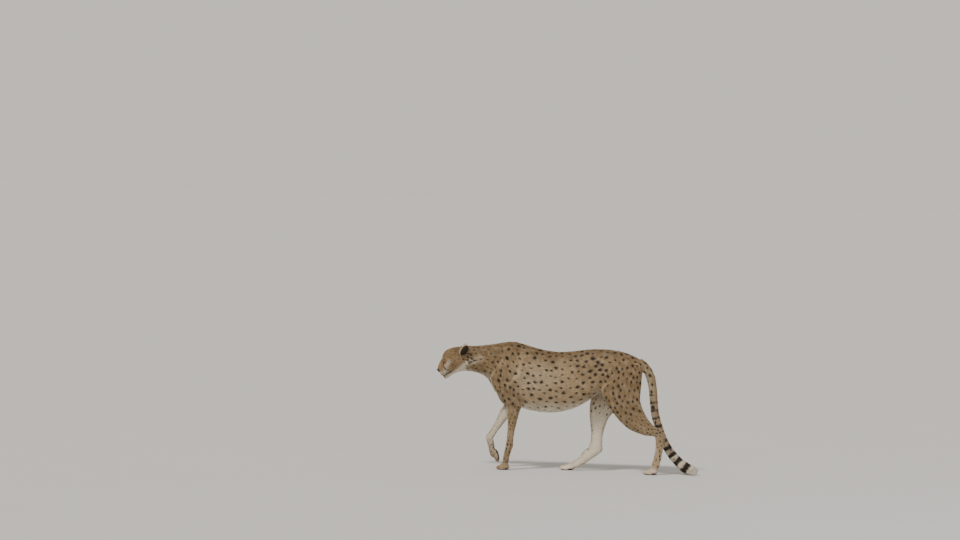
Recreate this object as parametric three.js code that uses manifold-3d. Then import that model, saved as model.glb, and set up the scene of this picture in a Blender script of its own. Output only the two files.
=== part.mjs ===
// A cheetah in mid walk, life size, as a still model: left forefoot and left hind foot on the floor, right
// hind foot just set down under the belly, right forefoot lifted with a bent wrist, head low, tail resting.
// Millimetres, +Z up, floor at z = 0. The animal faces -X and its left side is towards -Y.
import * as THREE from "three";
import { mergeVertices } from "three/addons/utils/BufferGeometryUtils.js";
import Module from "manifold-3d";

const wasm = await Module();
wasm.setup();

// ---------------------------------------------------------------- driving dimensions
const GAP = 0.6; // clearance between neighbouring solids
const SLIVER = 0.25; // detail finer than this is dropped
const LEFT = -1; // the sign of y on the animal's left
const RIGHT = 1;

// Foreleg: bone lengths, where the shoulder blade starts as [x, z], each joint's distance from the midline.
const BONES = { scapula: 200, humerus: 198, radius: 233, metacarpus: 99 };
const WITHERS = [12, 742];
const FORE_Y = [50, 68, 72, 60, 55];

// The way each bone runs in the side view, in degrees: 0 to the tail, 90 straight down, 180 to the nose.
const FORE_POSE = {
  left: { scapula: 112, humerus: 59, radius: 95, metacarpus: 101, sole: 0 },
  right: { scapula: 114, humerus: 64, radius: 121, metacarpus: 76, sole: 103 },
};

const HEAD = { x: -259, z: 691, pitch: 42, eyeRadius: 15.5, eye: [125, 36, 54] };
const EAR = { at: [20, 52, 19], height: 66, width: 62, depth: 32, wall: 5, back: 58, splay: 36, inward: 75 };
const PAW = { heel: 20, width: 28, toePitch: 14.2, toe: [22, 11.5, 15.5], soleCut: 2.4, knuckleHeight: 34 };
const FOREPAW = { heelX: 5, heelLength: 31, toeReach: 33 };
const HINDPAW = { heelX: 7, heelLength: 31, toeReach: 45 };
const CLAW = { length: 15, radius: 3.4, droop: 30, inset: 7, height: 14 };
const DEW = { drop: 38, back: 4, inward: 21, droop: 78 }; // the fifth claw, below the wrist

// ---------------------------------------------------------------- flesh
// Neck and trunk between two rails in the side view: [top x, z, underside x, z, half-width, egg].
// A positive egg narrows the top of the section, a negative one its underside.
const SPINE = [
  [-300, 736, -316, 592, 58, 0], // hidden in the head
  [-262, 741, -270, 588, 63, 0], // nape and throat
  [-190, 744, -212, 585, 68, 0.04],
  [-98, 757, -152, 566, 78, 0.08], // root of the neck
  [-28, 771, -112, 528, 86, 0.16],
  [28, 776, -76, 472, 93, 0.24], // withers and breast
  [92, 763, -10, 410, 98, 0.22],
  [160, 744, 110, 372, 99, 0.12], // behind the elbow
  [232, 730, 210, 356, 103, 0.06],
  [306, 724, 300, 358, 104, 0.04], // deepest ribs
  [382, 730, 382, 378, 101, 0.04],
  [456, 741, 458, 414, 95, 0.06],
  [526, 748, 530, 462, 90, 0.08], // waist
  [600, 748, 604, 494, 91, 0.1],
  [672, 740, 672, 508, 86, 0.1], // haunch bones
  [736, 723, 730, 522, 74, 0.12],
  [786, 699, 776, 548, 54, 0.1],
  [816, 668, 806, 588, 30, 0], // root of the tail
];
const NECK_FROM = 1; // station of the cut between head and neck
const TRUNK_FROM = 3; // station of the cut between neck and trunk

// Foreleg sections: [bone, share of its length, reach in front of it, reach behind it, half-width].
const FORE_FLESH = [
  [0, 0.02, 46, 62, 16],
  [0, 0.3, 52, 80, 27],
  [0, 0.7, 52, 92, 36],
  [1, 0.02, 46, 94, 41],
  [1, 0.35, 46, 86, 42],
  [1, 0.7, 43, 62, 37],
  [2, 0, 39, 46, 32],
  [2, 0.16, 36, 38, 29],
  [2, 0.38, 28, 30, 25],
  [2, 0.66, 21, 23, 20],
  [2, 0.9, 20.5, 22, 20.5],
  [3, 0, 21, 25, 21.5],
  [3, 0.3, 19, 22, 20],
  [3, 0.68, 19, 20, 22],
  [3, 1, 18, 21, 24],
  [3, 1.18, 14, 15, 18],
];

// Hind legs between a back and a front rail in the side view: [back x, z, front x, z, y, half-width].
const HIND_LEFT = [
  [792, 668, 672, 700, 44, 22], // croup
  [806, 628, 612, 640, 54, 36], // hip
  [810, 572, 566, 560, 62, 44],
  [806, 520, 570, 480, 66, 46], // flank fold
  [803, 480, 600, 424, 70, 46],
  [804, 448, 632, 380, 73, 44], // knee
  [814, 414, 664, 340, 75, 41],
  [828, 384, 698, 308, 76, 37], // calf
  [848, 350, 746, 271, 76, 32],
  [886, 303, 832, 240, 74, 26],
  [931, 279, 893, 234, 68, 22],
  [966, 247, 902, 222, 62, 21.5], // hock
  [960, 205, 906, 196, 60, 20.5],
  [953, 157, 906, 154, 58, 20],
  [946, 105, 897, 100, 57, 20],
  [940, 62, 885, 60, 56, 23], // knuckles
  [932, 38, 888, 36, 56, 18],
];
const HIND_RIGHT = [
  [792, 668, 668, 700, 44, 22], // croup
  [800, 622, 606, 640, 54, 36], // hip
  [796, 570, 560, 570, 60, 43],
  [770, 516, 528, 500, 66, 46],
  [732, 462, 512, 448, 70, 46],
  [694, 410, 505, 402, 73, 43], // knee
  [655, 364, 504, 362, 74, 38],
  [622, 322, 508, 322, 74, 33], // calf
  [604, 275, 513, 275, 72, 28],
  [592, 225, 519, 225, 68, 23],
  [589, 172, 514, 168, 62, 21.5],
  [590, 126, 500, 140, 60, 21.5], // hock
  [552, 90, 474, 118, 58, 20.5],
  [508, 58, 456, 90, 57, 20],
  [474, 34, 424, 64, 56, 22],
  [446, 18, 404, 46, 56, 24], // knuckles
  [428, 10, 390, 36, 56, 22],
];
const HIND_PLACES = { left: 902, right: 401 }; // x of the middle of each sole
const FORE_CUTS = [6, 11]; // the sections where elbow and wrist are parted
const HIND_CUTS = [5, 11]; // knee and hock

// Tail centre line [x, y, z, radius]: it hangs, passes between the hocks and rests its brush on the floor.
const TAIL = [
  [782, 0, 676, 30],
  [826, 0, 648, 29],
  [861, 2, 598, 27],
  [880, 8, 528, 25],
  [890, 14, 448, 24],
  [902, 18, 364, 24],
  [928, 20, 281, 24],
  [961, 20, 202, 24.5],
  [1003, 16, 134, 26],
  [1050, 8, 82, 28.5],
  [1098, 0, 45, 30],
  [1138, -6, 28, 26],
  [1158, -8, 23, 14],
];
const TAIL_CUTS = [4, 9];

// Head between two rails in its own frame: x forward from the nape, z up; same columns as SPINE.
const SKULL = [
  [-48, 22, 0, -96, 52, 0], // hidden in the neck
  [-20, 43, 30, -86, 58, 0],
  [2, 60, 48, -80, 63, 0],
  [28, 79, 66, -74, 68, 0], // between the ears
  [56, 92, 86, -64, 70, 0],
  [84, 98, 106, -53, 69, 0], // forehead
  [108, 95, 124, -46, 62, 0.02],
  [131, 82, 142, -42, 50, 0.08], // eyes
  [151, 70, 158, -40, 39, 0.12],
  [170, 60, 173, -38, 32.5, 0.1],
  [186, 50, 186, -33, 29, 0.04],
  [197, 34, 196, -10, 18, 0], // nose
];
// Rounded masses on the skull: [x, y, z, radius x, radius y, radius z], each also mirrored where y isn't 0.
const FACE = [
  [174, 15, 4, 24, 20, 22], // whisker pads
  [176, 0, -21, 20, 19, 17], // chin
  [112, 29, 67, 28, 18, 16], // brows
];
const NOSE = [192, 0, 37, 10, 15, 11];

// ---------------------------------------------------------------- small helpers
const radians = (degrees) => (degrees * Math.PI) / 180;
const unit = (degrees) => [Math.cos(radians(degrees)), -Math.sin(radians(degrees))];
const step = ([x, z], degrees, length) => {
  const [dx, dz] = unit(degrees);
  return [x + dx * length, z + dz * length];
};

/** A closed three.js geometry as a manifold-3d solid, through its welded vertices. */
function solidOf(geometry) {
  const bare = geometry.index ? geometry.toNonIndexed() : geometry.clone();
  const loose = new THREE.BufferGeometry().setAttribute("position", bare.getAttribute("position"));
  const welded = mergeVertices(loose, 1e-3);
  const vertProperties = new Float32Array(welded.attributes.position.array);
  const triVerts = new Uint32Array(welded.index.array);
  return new wasm.Manifold(new wasm.Mesh({ numProp: 3, vertProperties, triVerts }));
}

/** A manifold-3d solid back as a three.js geometry with flat faces. */
function geometryOf(solid) {
  const { vertProperties, triVerts } = solid.getMesh();
  const geometry = new THREE.BufferGeometry();
  geometry.setAttribute("position", new THREE.BufferAttribute(new Float32Array(vertProperties), 3));
  geometry.setIndex(new THREE.BufferAttribute(new Uint32Array(triVerts), 1));
  const flat = geometry.toNonIndexed();
  flat.computeVertexNormals();
  return flat;
}

/** Evenly parameterised smooth curve through rows of numbers: one row per whole value of t. */
function smoothRow(rows, t) {
  const last = rows.length - 1;
  const i = Math.min(Math.max(Math.floor(t), 0), last - 1);
  const f = t - i;
  const [a, b, c, d] = [i - 1, i, i + 1, i + 2].map((k) => rows[Math.min(Math.max(k, 0), last)]);
  return b.map((_, n) => {
    const slopeIn = (c[n] - a[n]) / 2;
    const slopeOut = (d[n] - b[n]) / 2;
    const rise = c[n] - b[n];
    const bend = 3 * rise - 2 * slopeIn - slopeOut;
    return b[n] + f * (slopeIn + f * (bend + f * (slopeIn + slopeOut - 2 * rise)));
  });
}

/**
 * A loft between two rails in the side view. Each row is [x, z of one rail, x, z of the other, y, half-width,
 * egg], and the rows run to the right of the way from the second rail to the first.
 * Every ring is an oval in the plane of its two rail points and the y axis, and both ends are closed flat.
 * from and to are places along the rows, spans the rings between two rows, swell a growth all round.
 */
function railLoft(rows, { from = 0, to = rows.length - 1, spans = 2, sides = 14, swell = 0 }) {
  const rings = Math.max(1, Math.round((to - from) * spans));
  const points = [];
  const ringAt = (t, along) => {
    const [ax, az, bx, bz, y, half, egg] = smoothRow(rows, t);
    const depth = Math.hypot(ax - bx, az - bz) / 2;
    const [nx, nz] = [(ax - bx) / (2 * depth), (az - bz) / (2 * depth)];
    for (let s = 0; s < sides; s++) {
      const angle = (2 * Math.PI * (s + 0.5)) / sides;
      const up = (depth + swell) * Math.sin(angle);
      const out = (half + swell) * Math.cos(angle) * (1 - egg * Math.sin(angle));
      points.push((ax + bx) / 2 + nx * up + nz * along, y + out, (az + bz) / 2 + nz * up - nx * along);
    }
  };
  for (let r = 0; r <= rings; r++) {
    const endwise = r === 0 ? -1 : r === rings ? 1 : 0;
    ringAt(from + ((to - from) * r) / rings, endwise * swell * 1.5);
  }
  const centres = [0, rings].map((r) => {
    const sum = [0, 0, 0];
    for (let n = 0; n < 3 * sides; n++) sum[n % 3] += points[r * sides * 3 + n] / sides;
    points.push(...sum);
    return points.length / 3 - 1;
  });
  const faces = [];
  for (let s = 0; s < sides; s++) {
    const next = (s + 1) % sides;
    for (let r = 0; r < rings; r++) {
      const [a, b, c, d] = [r * sides + s, r * sides + next, (r + 1) * sides + s, (r + 1) * sides + next];
      if ((r + s) % 2) faces.push(a, c, b, b, c, d);
      else faces.push(a, c, d, a, d, b);
    }
    faces.push(centres[0], s, next);
    faces.push(centres[1], rings * sides + next, rings * sides + s);
  }
  const geometry = new THREE.BufferGeometry();
  geometry.setAttribute("position", new THREE.Float32BufferAttribute(points, 3));
  geometry.setIndex(faces);
  const solid = solidOf(geometry);
  if (solid.volume() > 0) return solid;
  for (let f = 0; f < faces.length; f += 3) [faces[f + 1], faces[f + 2]] = [faces[f + 2], faces[f + 1]];
  geometry.setIndex(faces);
  return solidOf(geometry);
}

/** An ellipsoid, placed by a matrix where one is given. */
function ellipsoid([x, y, z, rx, ry, rz], matrix = null, around = 12, rings = 8) {
  const geometry = new THREE.SphereGeometry(1, around, rings);
  geometry.scale(rx, ry, rz).translate(x, y, z);
  if (matrix) geometry.applyMatrix4(matrix);
  return solidOf(geometry);
}

/** A box of material to cut with, from its low and high corners. */
function block(low, high) {
  const size = high.map((h, k) => h - low[k]);
  const geometry = new THREE.BoxGeometry(...size);
  geometry.translate(...high.map((h, k) => (h + low[k]) / 2));
  return solidOf(geometry);
}

const FAR = 3000;
const BELOW_FLOOR = block([-FAR, -FAR, -FAR], [FAR, FAR, 0]);
const joined = (solids) => solids.reduce((whole, one) => whole.add(one));

/** All that lies beyond a plane square to the side view, which runs through the two rail points of a row. */
function beyond([ax, az, bx, bz], sense, offset) {
  const depth = Math.hypot(ax - bx, az - bz);
  const [nx, nz] = [(sense * (az - bz)) / depth, (-sense * (ax - bx)) / depth];
  const geometry = new THREE.BoxGeometry(FAR, FAR, FAR);
  geometry.translate(FAR / 2 + offset, 0, 0);
  geometry.rotateY(Math.atan2(-nz, nx));
  geometry.translate((ax + bx) / 2, 0, (az + bz) / 2);
  return solidOf(geometry);
}

/** A rail loft parted square across at some of its rows, with a set of loft options for each length. */
function partedLoft(rows, cuts, options) {
  const ends = [0, ...cuts, rows.length - 1];
  return options.map((option, i) => {
    let length = railLoft(rows, { from: ends[i], to: ends[i + 1], ...option });
    if (i > 0) length = length.subtract(beyond(rows[ends[i]], -1, 0));
    if (i < cuts.length) length = length.subtract(beyond(rows[ends[i + 1]], 1, -GAP));
    return length;
  });
}

// ---------------------------------------------------------------- limbs
/** The joints of a foreleg in the side view, from its root and the way each bone runs. */
function jointsOf(root, pose) {
  const joints = [root];
  for (const bone of Object.keys(BONES)) joints.push(step(joints.at(-1), pose[bone], BONES[bone]));
  return joints;
}

/** The rows of a foreleg's loft: each section stands square to the bone, at a joint half-way between two. */
function foreRows(joints, side) {
  const aim = (i) => Math.atan2(joints[i + 1][1] - joints[i][1], joints[i + 1][0] - joints[i][0]);
  const BEND = 0.3; // share of a bone over which its sections turn towards the next bone's
  return FORE_FLESH.map(([bone, share, front, back, half]) => {
    const [a, b] = [joints[bone], joints[bone + 1]];
    let angle = aim(bone);
    if (share < BEND && bone > 0) angle += ((aim(bone - 1) - aim(bone)) / 2) * (1 - share / BEND);
    if (share > 1 - BEND && bone + 2 < joints.length)
      angle += ((aim(bone + 1) - aim(bone)) / 2) * (1 - (1 - share) / BEND);
    const [x, z] = [a[0] + (b[0] - a[0]) * share, a[1] + (b[1] - a[1]) * share];
    const [fx, fz] = [Math.sin(angle), -Math.cos(angle)];
    const y = side * (FORE_Y[bone] + (FORE_Y[bone + 1] - FORE_Y[bone]) * share);
    return [x - fx * back, z - fz * back, x + fx * front, z + fz * front, y, half, 0];
  });
}

/** The paw's own frame: x forward, z up, origin on the sole under the knuckles, tipped by some degrees. */
function pawFrame([x, z], y, side, sole) {
  const frame = new THREE.Group();
  const SPREAD = 3; // the feet point a little outwards
  frame.rotation.set(0, 0, Math.PI + radians(side * -SPREAD), "ZYX");
  const tilt = new THREE.Group();
  tilt.rotation.y = radians(sole);
  frame.position.set(x, y, z);
  frame.add(tilt);
  frame.updateMatrixWorld(true);
  return tilt.matrixWorld;
}

/** The places of the four toes in the paw's frame, the outer two set back. */
function toePlaces({ toeReach }) {
  const OUTER_BACK = 13;
  return [-1.5, -0.5, 0.5, 1.5].map((place) => [
    toeReach - (Math.abs(place) > 1 ? OUTER_BACK : 0),
    place * PAW.toePitch,
  ]);
}

/** Pad and four toes in the paw's frame. */
function pawSolids(matrix, paw) {
  const up = PAW.toe[2] - PAW.soleCut;
  const heel = [paw.heelX, 0, PAW.heel, paw.heelLength, PAW.width, PAW.heel + PAW.soleCut];
  const toes = toePlaces(paw).map(([x, y]) => ellipsoid([x, y, up, ...PAW.toe], matrix, 8, 5));
  return [ellipsoid(heel, matrix, 10, 6), ...toes];
}

/** A claw: a small cone that points forward and down from a place in a frame, or its swollen socket. */
function clawSolid(matrix, [x, y, z], droop, swell = 0) {
  const length = CLAW.length + 3 * swell;
  const cone = new THREE.ConeGeometry(CLAW.radius + swell, length, 5);
  cone.translate(0, length / 2 - swell, 0);
  cone.rotateZ(-Math.PI / 2);
  cone.rotateY(radians(droop));
  cone.translate(x, y, z);
  cone.applyMatrix4(matrix);
  return solidOf(cone);
}

// ---------------------------------------------------------------- the animal
const body = new THREE.Group();
const COAT = { color: 0xc59a63, roughness: 0.9, metalness: 0 };
const PALE = { color: 0xe6d8bd, roughness: 0.9, metalness: 0 };
const DARK = { color: 0x2b211b, roughness: 0.85, metalness: 0 };
const NOSE_SKIN = { color: 0x1f1917, roughness: 0.5, metalness: 0 };
const AMBER = { color: 0xb0742c, roughness: 0.12, metalness: 0 };
const HORN = { color: 0x4b3c31, roughness: 0.4, metalness: 0 };

/** Adds one named piece to the animal, without the slivers that the sockets leave along their rims. */
function addPiece(name, solid, look) {
  const mesh = new THREE.Mesh(geometryOf(solid.simplify(SLIVER)), new THREE.MeshStandardMaterial(look));
  mesh.name = name;
  body.add(mesh);
}

/** The frame of the fifth claw, which sits on the inner side of the foot a little below the wrist. */
function dewFrame(wrist, degrees, y) {
  const [dx, dz] = unit(degrees);
  const place = new THREE.Matrix4().makeRotationZ(Math.PI);
  return place.setPosition(wrist[0] + dx * DEW.drop + DEW.back, y, wrist[1] + dz * DEW.drop);
}

/** One leg: three pieces, its claws, and the swollen copy of its top that hollows the trunk. */
function makeLeg({ name, rows, cuts, names, paw, matrix, lifted, dewclaw }) {
  const grain = [{ spans: 1.2, sides: 12 }, { spans: 1.2, sides: 10 }, { spans: 1.2, sides: 10 }];
  const [top, middle, shaft] = partedLoft(rows, cuts, grain);
  const socket = railLoft(rows, { to: cuts[0], ...grain[0], swell: GAP });
  const clawX = PAW.toe[0] - CLAW.inset;
  const claws = toePlaces(paw).map(([x, y]) => [matrix, [x + clawX, y, CLAW.height], CLAW.droop]);
  if (dewclaw) claws.push([dewclaw, [0, 0, 0], DEW.droop]);
  const clawSockets = claws.map((claw) => clawSolid(...claw, GAP));
  const foot = joined([shaft, ...pawSolids(matrix, paw)]).subtract(joined(clawSockets));
  addPiece(`${names[1]}_${name}`, middle, COAT);
  addPiece(`${names[2]}_${name}`, lifted ? foot : foot.subtract(BELOW_FLOOR), COAT);
  claws.forEach((claw, i) => addPiece(`claw_${names[2]}_${name}_${i + 1}`, clawSolid(...claw), HORN));
  return { top, socket, topName: `${names[0]}_${name}` };
}

/** A foreleg from its bones: name, side and the way each bone runs. */
function makeForeleg(name, side, pose) {
  const joints = jointsOf(WITHERS, pose);
  const [wrist, [knuckleX, knuckleZ]] = joints.slice(-2);
  const drop = pose.sole ? PAW.knuckleHeight : knuckleZ;
  const tip = radians(pose.sole);
  const ground = [knuckleX + drop * Math.sin(tip), knuckleZ - drop * Math.cos(tip)];
  return makeLeg({
    name,
    rows: foreRows(joints, side),
    cuts: FORE_CUTS,
    names: ["shoulder", "forearm", "forepaw"],
    paw: FOREPAW,
    matrix: pawFrame(ground, side * FORE_Y.at(-1), side, pose.sole),
    lifted: pose.sole > 0,
    dewclaw: dewFrame(wrist, pose.metacarpus, side * (FORE_Y[3] - DEW.inward)),
  });
}

/** A hind leg from its rails: name, side, rows and the middle of its sole. */
function makeHindleg(name, side, table, middle) {
  return makeLeg({
    name,
    rows: table.map(([bx, bz, fx, fz, y, half]) => [bx, bz, fx, fz, side * y, half, 0]),
    cuts: HIND_CUTS,
    names: ["thigh", "shank", "hindfoot"],
    paw: HINDPAW,
    matrix: pawFrame([middle, 0], side * table.at(-1)[4], side, 0),
  });
}

const legs = [
  makeForeleg("left", LEFT, FORE_POSE.left),
  makeForeleg("right", RIGHT, FORE_POSE.right),
  makeHindleg("left", LEFT, HIND_LEFT, HIND_PLACES.left),
  makeHindleg("right", RIGHT, HIND_RIGHT, HIND_PLACES.right),
];

// Tail: a round loft along its centre line, in three lengths.
const tailRows = TAIL.map(([x, y, z, radius], i) => {
  const [before, after] = [TAIL[Math.max(i - 1, 0)], TAIL[Math.min(i + 1, TAIL.length - 1)]];
  const length = Math.hypot(after[0] - before[0], after[2] - before[2]);
  const [nx, nz] = [-(after[2] - before[2]) / length, (after[0] - before[0]) / length];
  return [x + nx * radius, z + nz * radius, x - nx * radius, z - nz * radius, y, radius, 0];
});
const tailLook = [COAT, COAT, PALE];
const tailGrain = { spans: 2, sides: 11 };
const tailNames = ["tail_root", "tail_middle", "tail_brush"];
partedLoft(tailRows, TAIL_CUTS, [tailGrain, tailGrain, tailGrain]).forEach((length, i) => {
  addPiece(tailNames[i], length.subtract(BELOW_FLOOR), tailLook[i]);
});
const tailSocket = railLoft(tailRows, { to: TAIL_CUTS[0], ...tailGrain, swell: GAP });

for (const { top, topName } of legs) addPiece(topName, top.subtract(tailSocket), COAT);

// Neck and trunk: one loft along the spine, parted at the root of the neck.
const spineRows = SPINE.map(([tx, tz, ux, uz, half, egg]) => [tx, tz, ux, uz, 0, half, egg]);
const sockets = joined([...legs.map((leg) => leg.socket), tailSocket]);
const spineGrain = [{ spans: 1, sides: 12 }, { spans: 2, sides: 16 }, { spans: 1.2, sides: 16 }];
const [, neck, trunk] = partedLoft(spineRows, [NECK_FROM, TRUNK_FROM], spineGrain);
addPiece("neck", neck.subtract(sockets), COAT);
addPiece("trunk", trunk.subtract(sockets), COAT);

// Head: skull loft and rounded masses in the head's frame, cut off square in front of the neck.
const headFrame = new THREE.Matrix4().makeRotationZ(Math.PI);
headFrame.premultiply(new THREE.Matrix4().makeRotationY(radians(-HEAD.pitch)));
headFrame.setPosition(HEAD.x, 0, HEAD.z);
const inHead = (solid) => {
  const geometry = geometryOf(solid);
  geometry.applyMatrix4(headFrame);
  return solidOf(geometry);
};
const skullRows = SKULL.map(([tx, tz, ux, uz, half, egg]) => [tx, tz, ux, uz, 0, half, egg]);
const masses = FACE.flatMap(([x, y, z, ...radii]) =>
  (y ? [y, -y] : [0]).map((place) => ellipsoid([x, place, z, ...radii], null, 12, 8)),
);
const skull = inHead(joined([railLoft(skullRows, { spans: 1.3, sides: 16 }), ...masses]));
const bareHead = skull.subtract(beyond(spineRows[NECK_FROM], 1, -GAP));

/** An eyeball, or its swollen socket; in the head's frame y points to the animal's left. */
function eyeBall(side, swell = 0) {
  const [x, y, z] = HEAD.eye;
  const radius = HEAD.eyeRadius + swell;
  return ellipsoid([x, -side * y, z, radius, radius, radius], headFrame, 12, 8);
}
const nose = ellipsoid(NOSE, headFrame, 10, 7);
const noseSocket = ellipsoid([...NOSE.slice(0, 3), ...NOSE.slice(3).map((r) => r + GAP)], headFrame, 10, 7);
addPiece("head", bareHead.subtract(joined([eyeBall(LEFT, GAP), eyeBall(RIGHT, GAP), noseSocket])), COAT);
addPiece("nose", nose, NOSE_SKIN);

for (const [name, side] of [["left", LEFT], ["right", RIGHT]]) {
  addPiece(`eye_${name}`, eyeBall(side), AMBER);
  // Ear: a cup, round at the tip, its hollow turned forwards and in, its foot seated on the head.
  const place = new THREE.Matrix4().makeRotationZ(radians(side * EAR.inward));
  place.premultiply(new THREE.Matrix4().makeRotationY(radians(-EAR.back)));
  place.premultiply(new THREE.Matrix4().makeRotationX(radians(side * EAR.splay)));
  place.setPosition(EAR.at[0], -side * EAR.at[1], EAR.at[2]);
  place.premultiply(headFrame);
  const shell = [0, 0, EAR.height * 0.42, EAR.depth / 2, EAR.width / 2, EAR.height * 0.58];
  const outer = ellipsoid(shell, place, 12, 8);
  const hollow = [
    EAR.depth * 0.36,
    0,
    EAR.height * 0.46,
    EAR.depth / 2,
    EAR.width / 2 - EAR.wall,
    EAR.height * 0.58 - EAR.wall,
  ];
  const seat = bareHead.add(neck);
  const ways = [[0, side, 0], [1, side, 1], [-1, side, 1], [0, 0, 1]];
  const clear = ways.map((way) => seat.translate(way.map((w) => w * GAP))); // keeps the foot off the skull
  const cup = outer.subtract(ellipsoid(hollow, place, 12, 8)).subtract(joined([seat, ...clear]));
  const [whole] = cup.decompose().sort((a, b) => b.volume() - a.volume());
  addPiece(`ear_${name}`, whole, DARK);
}

// The frame's origin is on the floor under the middle of the animal.
const box = new THREE.Box3().setFromObject(body);
body.position.set(-(box.min.x + box.max.x) / 2, -(box.min.y + box.max.y) / 2, -box.min.z);

export default body;
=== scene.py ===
"""A cheetah in mid walk, life size: one skin under a short coat, with its eyes, nose, ears, claws and whiskers.

Lengths in the tables are millimetres; meshes are in metres. The animal faces -X, its left is towards -Y, and
the floor is z = 0.
"""
import logging
import math
from dataclasses import dataclass, field
from enum import Enum

import bmesh
import bpy
import numpy as np
from bpy.types import bpy_prop_collection, ID, Light, Material, Mesh, Node, NodeSocket, NodeTree, Object
from mathutils import Matrix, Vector
from numpy.typing import NDArray


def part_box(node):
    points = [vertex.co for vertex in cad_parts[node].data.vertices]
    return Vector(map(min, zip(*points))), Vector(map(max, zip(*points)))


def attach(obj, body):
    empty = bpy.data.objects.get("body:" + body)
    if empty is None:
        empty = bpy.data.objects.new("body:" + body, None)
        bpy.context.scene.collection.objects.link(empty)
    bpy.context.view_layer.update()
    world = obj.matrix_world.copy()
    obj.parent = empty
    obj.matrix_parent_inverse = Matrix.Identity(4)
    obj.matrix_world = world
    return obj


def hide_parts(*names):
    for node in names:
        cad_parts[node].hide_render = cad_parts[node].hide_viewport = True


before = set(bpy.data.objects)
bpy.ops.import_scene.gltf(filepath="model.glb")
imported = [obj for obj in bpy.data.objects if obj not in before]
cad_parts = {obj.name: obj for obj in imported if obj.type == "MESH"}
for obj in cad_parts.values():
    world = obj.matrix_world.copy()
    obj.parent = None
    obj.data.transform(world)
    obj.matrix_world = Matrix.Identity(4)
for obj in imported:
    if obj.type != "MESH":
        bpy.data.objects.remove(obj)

log = logging.getLogger("cheetah")
SEED = 7
OUTSIDE = -30.0  # the depth of a place that is far from any dark mark, in millimetres
FLOOR_GAP = 0.2  # how far skin and hair stay above the floor, in millimetres
SAMPLE_REACH = 9  # how far along a guide each of its samples speaks for, in millimetres


# ------------------------------ small helpers
def linear(code: str) -> tuple[float, float, float, float]:
    """Turns an sRGB hex colour into linear red, green, blue and an alpha of one.

    Args:
        code: The colour, as "#RRGGBB".

    Returns:
        Four numbers for a shader's colour socket.
    """
    parts = [int(code[i : i + 2], 16) / 255 for i in (1, 3, 5)]
    turned = [p / 12.92 if p <= 0.04045 else ((p + 0.055) / 1.055) ** 2.4 for p in parts]
    return turned[0], turned[1], turned[2], 1.0


def add_node(tree: NodeTree, kind: str, inputs: dict | None = None, **settings: object) -> Node:
    """Adds one node with its settings, and sets or links its inputs.

    Args:
        tree: The node tree.
        kind: The node's type name, without "ShaderNode".
        inputs: Input name or index, to a value or to the output socket that feeds it.
        settings: The node's own properties.

    Returns:
        The new node.
    """
    node = tree.nodes.new("ShaderNode" + kind)
    for name, value in settings.items():
        setattr(node, name, value)
    for name, value in (inputs or {}).items():
        if isinstance(value, NodeSocket):
            tree.links.new(value, node.inputs[name])
        else:
            node.inputs[name].default_value = value
    return node


def unit(vectors: NDArray) -> NDArray:
    """Scales each row to a length of one."""
    return vectors / np.maximum(np.linalg.norm(vectors, axis=-1, keepdims=True), 1e-9)


def ramp(values: NDArray, low: float, high: float) -> NDArray:
    """Eases from 0 at low to 1 at high by the cubic 3t squared less 2t cubed; low may be above high."""
    t = np.clip((values - low) / (high - low), 0, 1)
    return t * t * (3 - 2 * t)


def one_sided(points: NDArray) -> NDArray:
    """A copy of points, with those on the side of negative y mirrored to the other."""
    mirrored = np.array(points)
    mirrored[:, 1] = np.abs(mirrored[:, 1])
    return mirrored


def ellipsoid_distance(points: NDArray, centre: tuple, radii: tuple) -> NDArray:
    """The length of (point - centre) / radii: 1 on the ellipsoid. An infinite radius leaves its axis out."""
    return np.linalg.norm((points - np.array(centre)) / radii, axis=1)


def waves(points: NDArray, size: float, seed: int) -> NDArray:
    """A soft irregular field between about -1 and 1: the mean of eight sines that run in random directions.

    Args:
        points: Places, one a row.
        size: The rough distance between crests, in the points' unit.
        seed: Which field.

    Returns:
        One number for each place.
    """
    rng = np.random.default_rng(seed)
    ways = unit(rng.normal(size=(8, 3))) * (2 * np.pi / size) * rng.uniform(0.7, 1.4, (8, 1))
    return np.sin(points @ ways.T + rng.uniform(0, 6.28, 8)).mean(axis=1) * 1.9


def smooth_rows(rows: NDArray, t: NDArray) -> NDArray:
    """A smooth curve through rows: cubic pieces whose slope at a row is half the step across it.

    Args:
        rows: The rows, one for each whole value of t.
        t: Places along them.

    Returns:
        One row for each place.
    """
    last = len(rows) - 1
    i = np.clip(np.floor(t).astype(int), 0, last - 1)
    f = (t - i)[:, None]
    a, b, c, d = (rows[np.clip(i + k, 0, last)] for k in (-1, 0, 1, 2))
    slope_in, slope_out, rise = (c - a) / 2, (d - b) / 2, c - b
    bend = 3 * rise - 2 * slope_in - slope_out
    return b + f * (slope_in + f * (bend + f * (slope_in + slope_out - 2 * rise)))


# ------------------------------ shells
@dataclass
class Shell:
    """A closed surface: its points and its triangles."""

    points: NDArray
    faces: NDArray

    def outward(self) -> "Shell":
        """Turns the triangles round where the volume they bound comes out negative."""
        a, b, c = (self.points[self.faces[:, k]] for k in range(3))
        if np.einsum("ij,ij->", a, np.cross(b, c)) < 0:
            self.faces = self.faces[:, ::-1]
        return self


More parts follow.
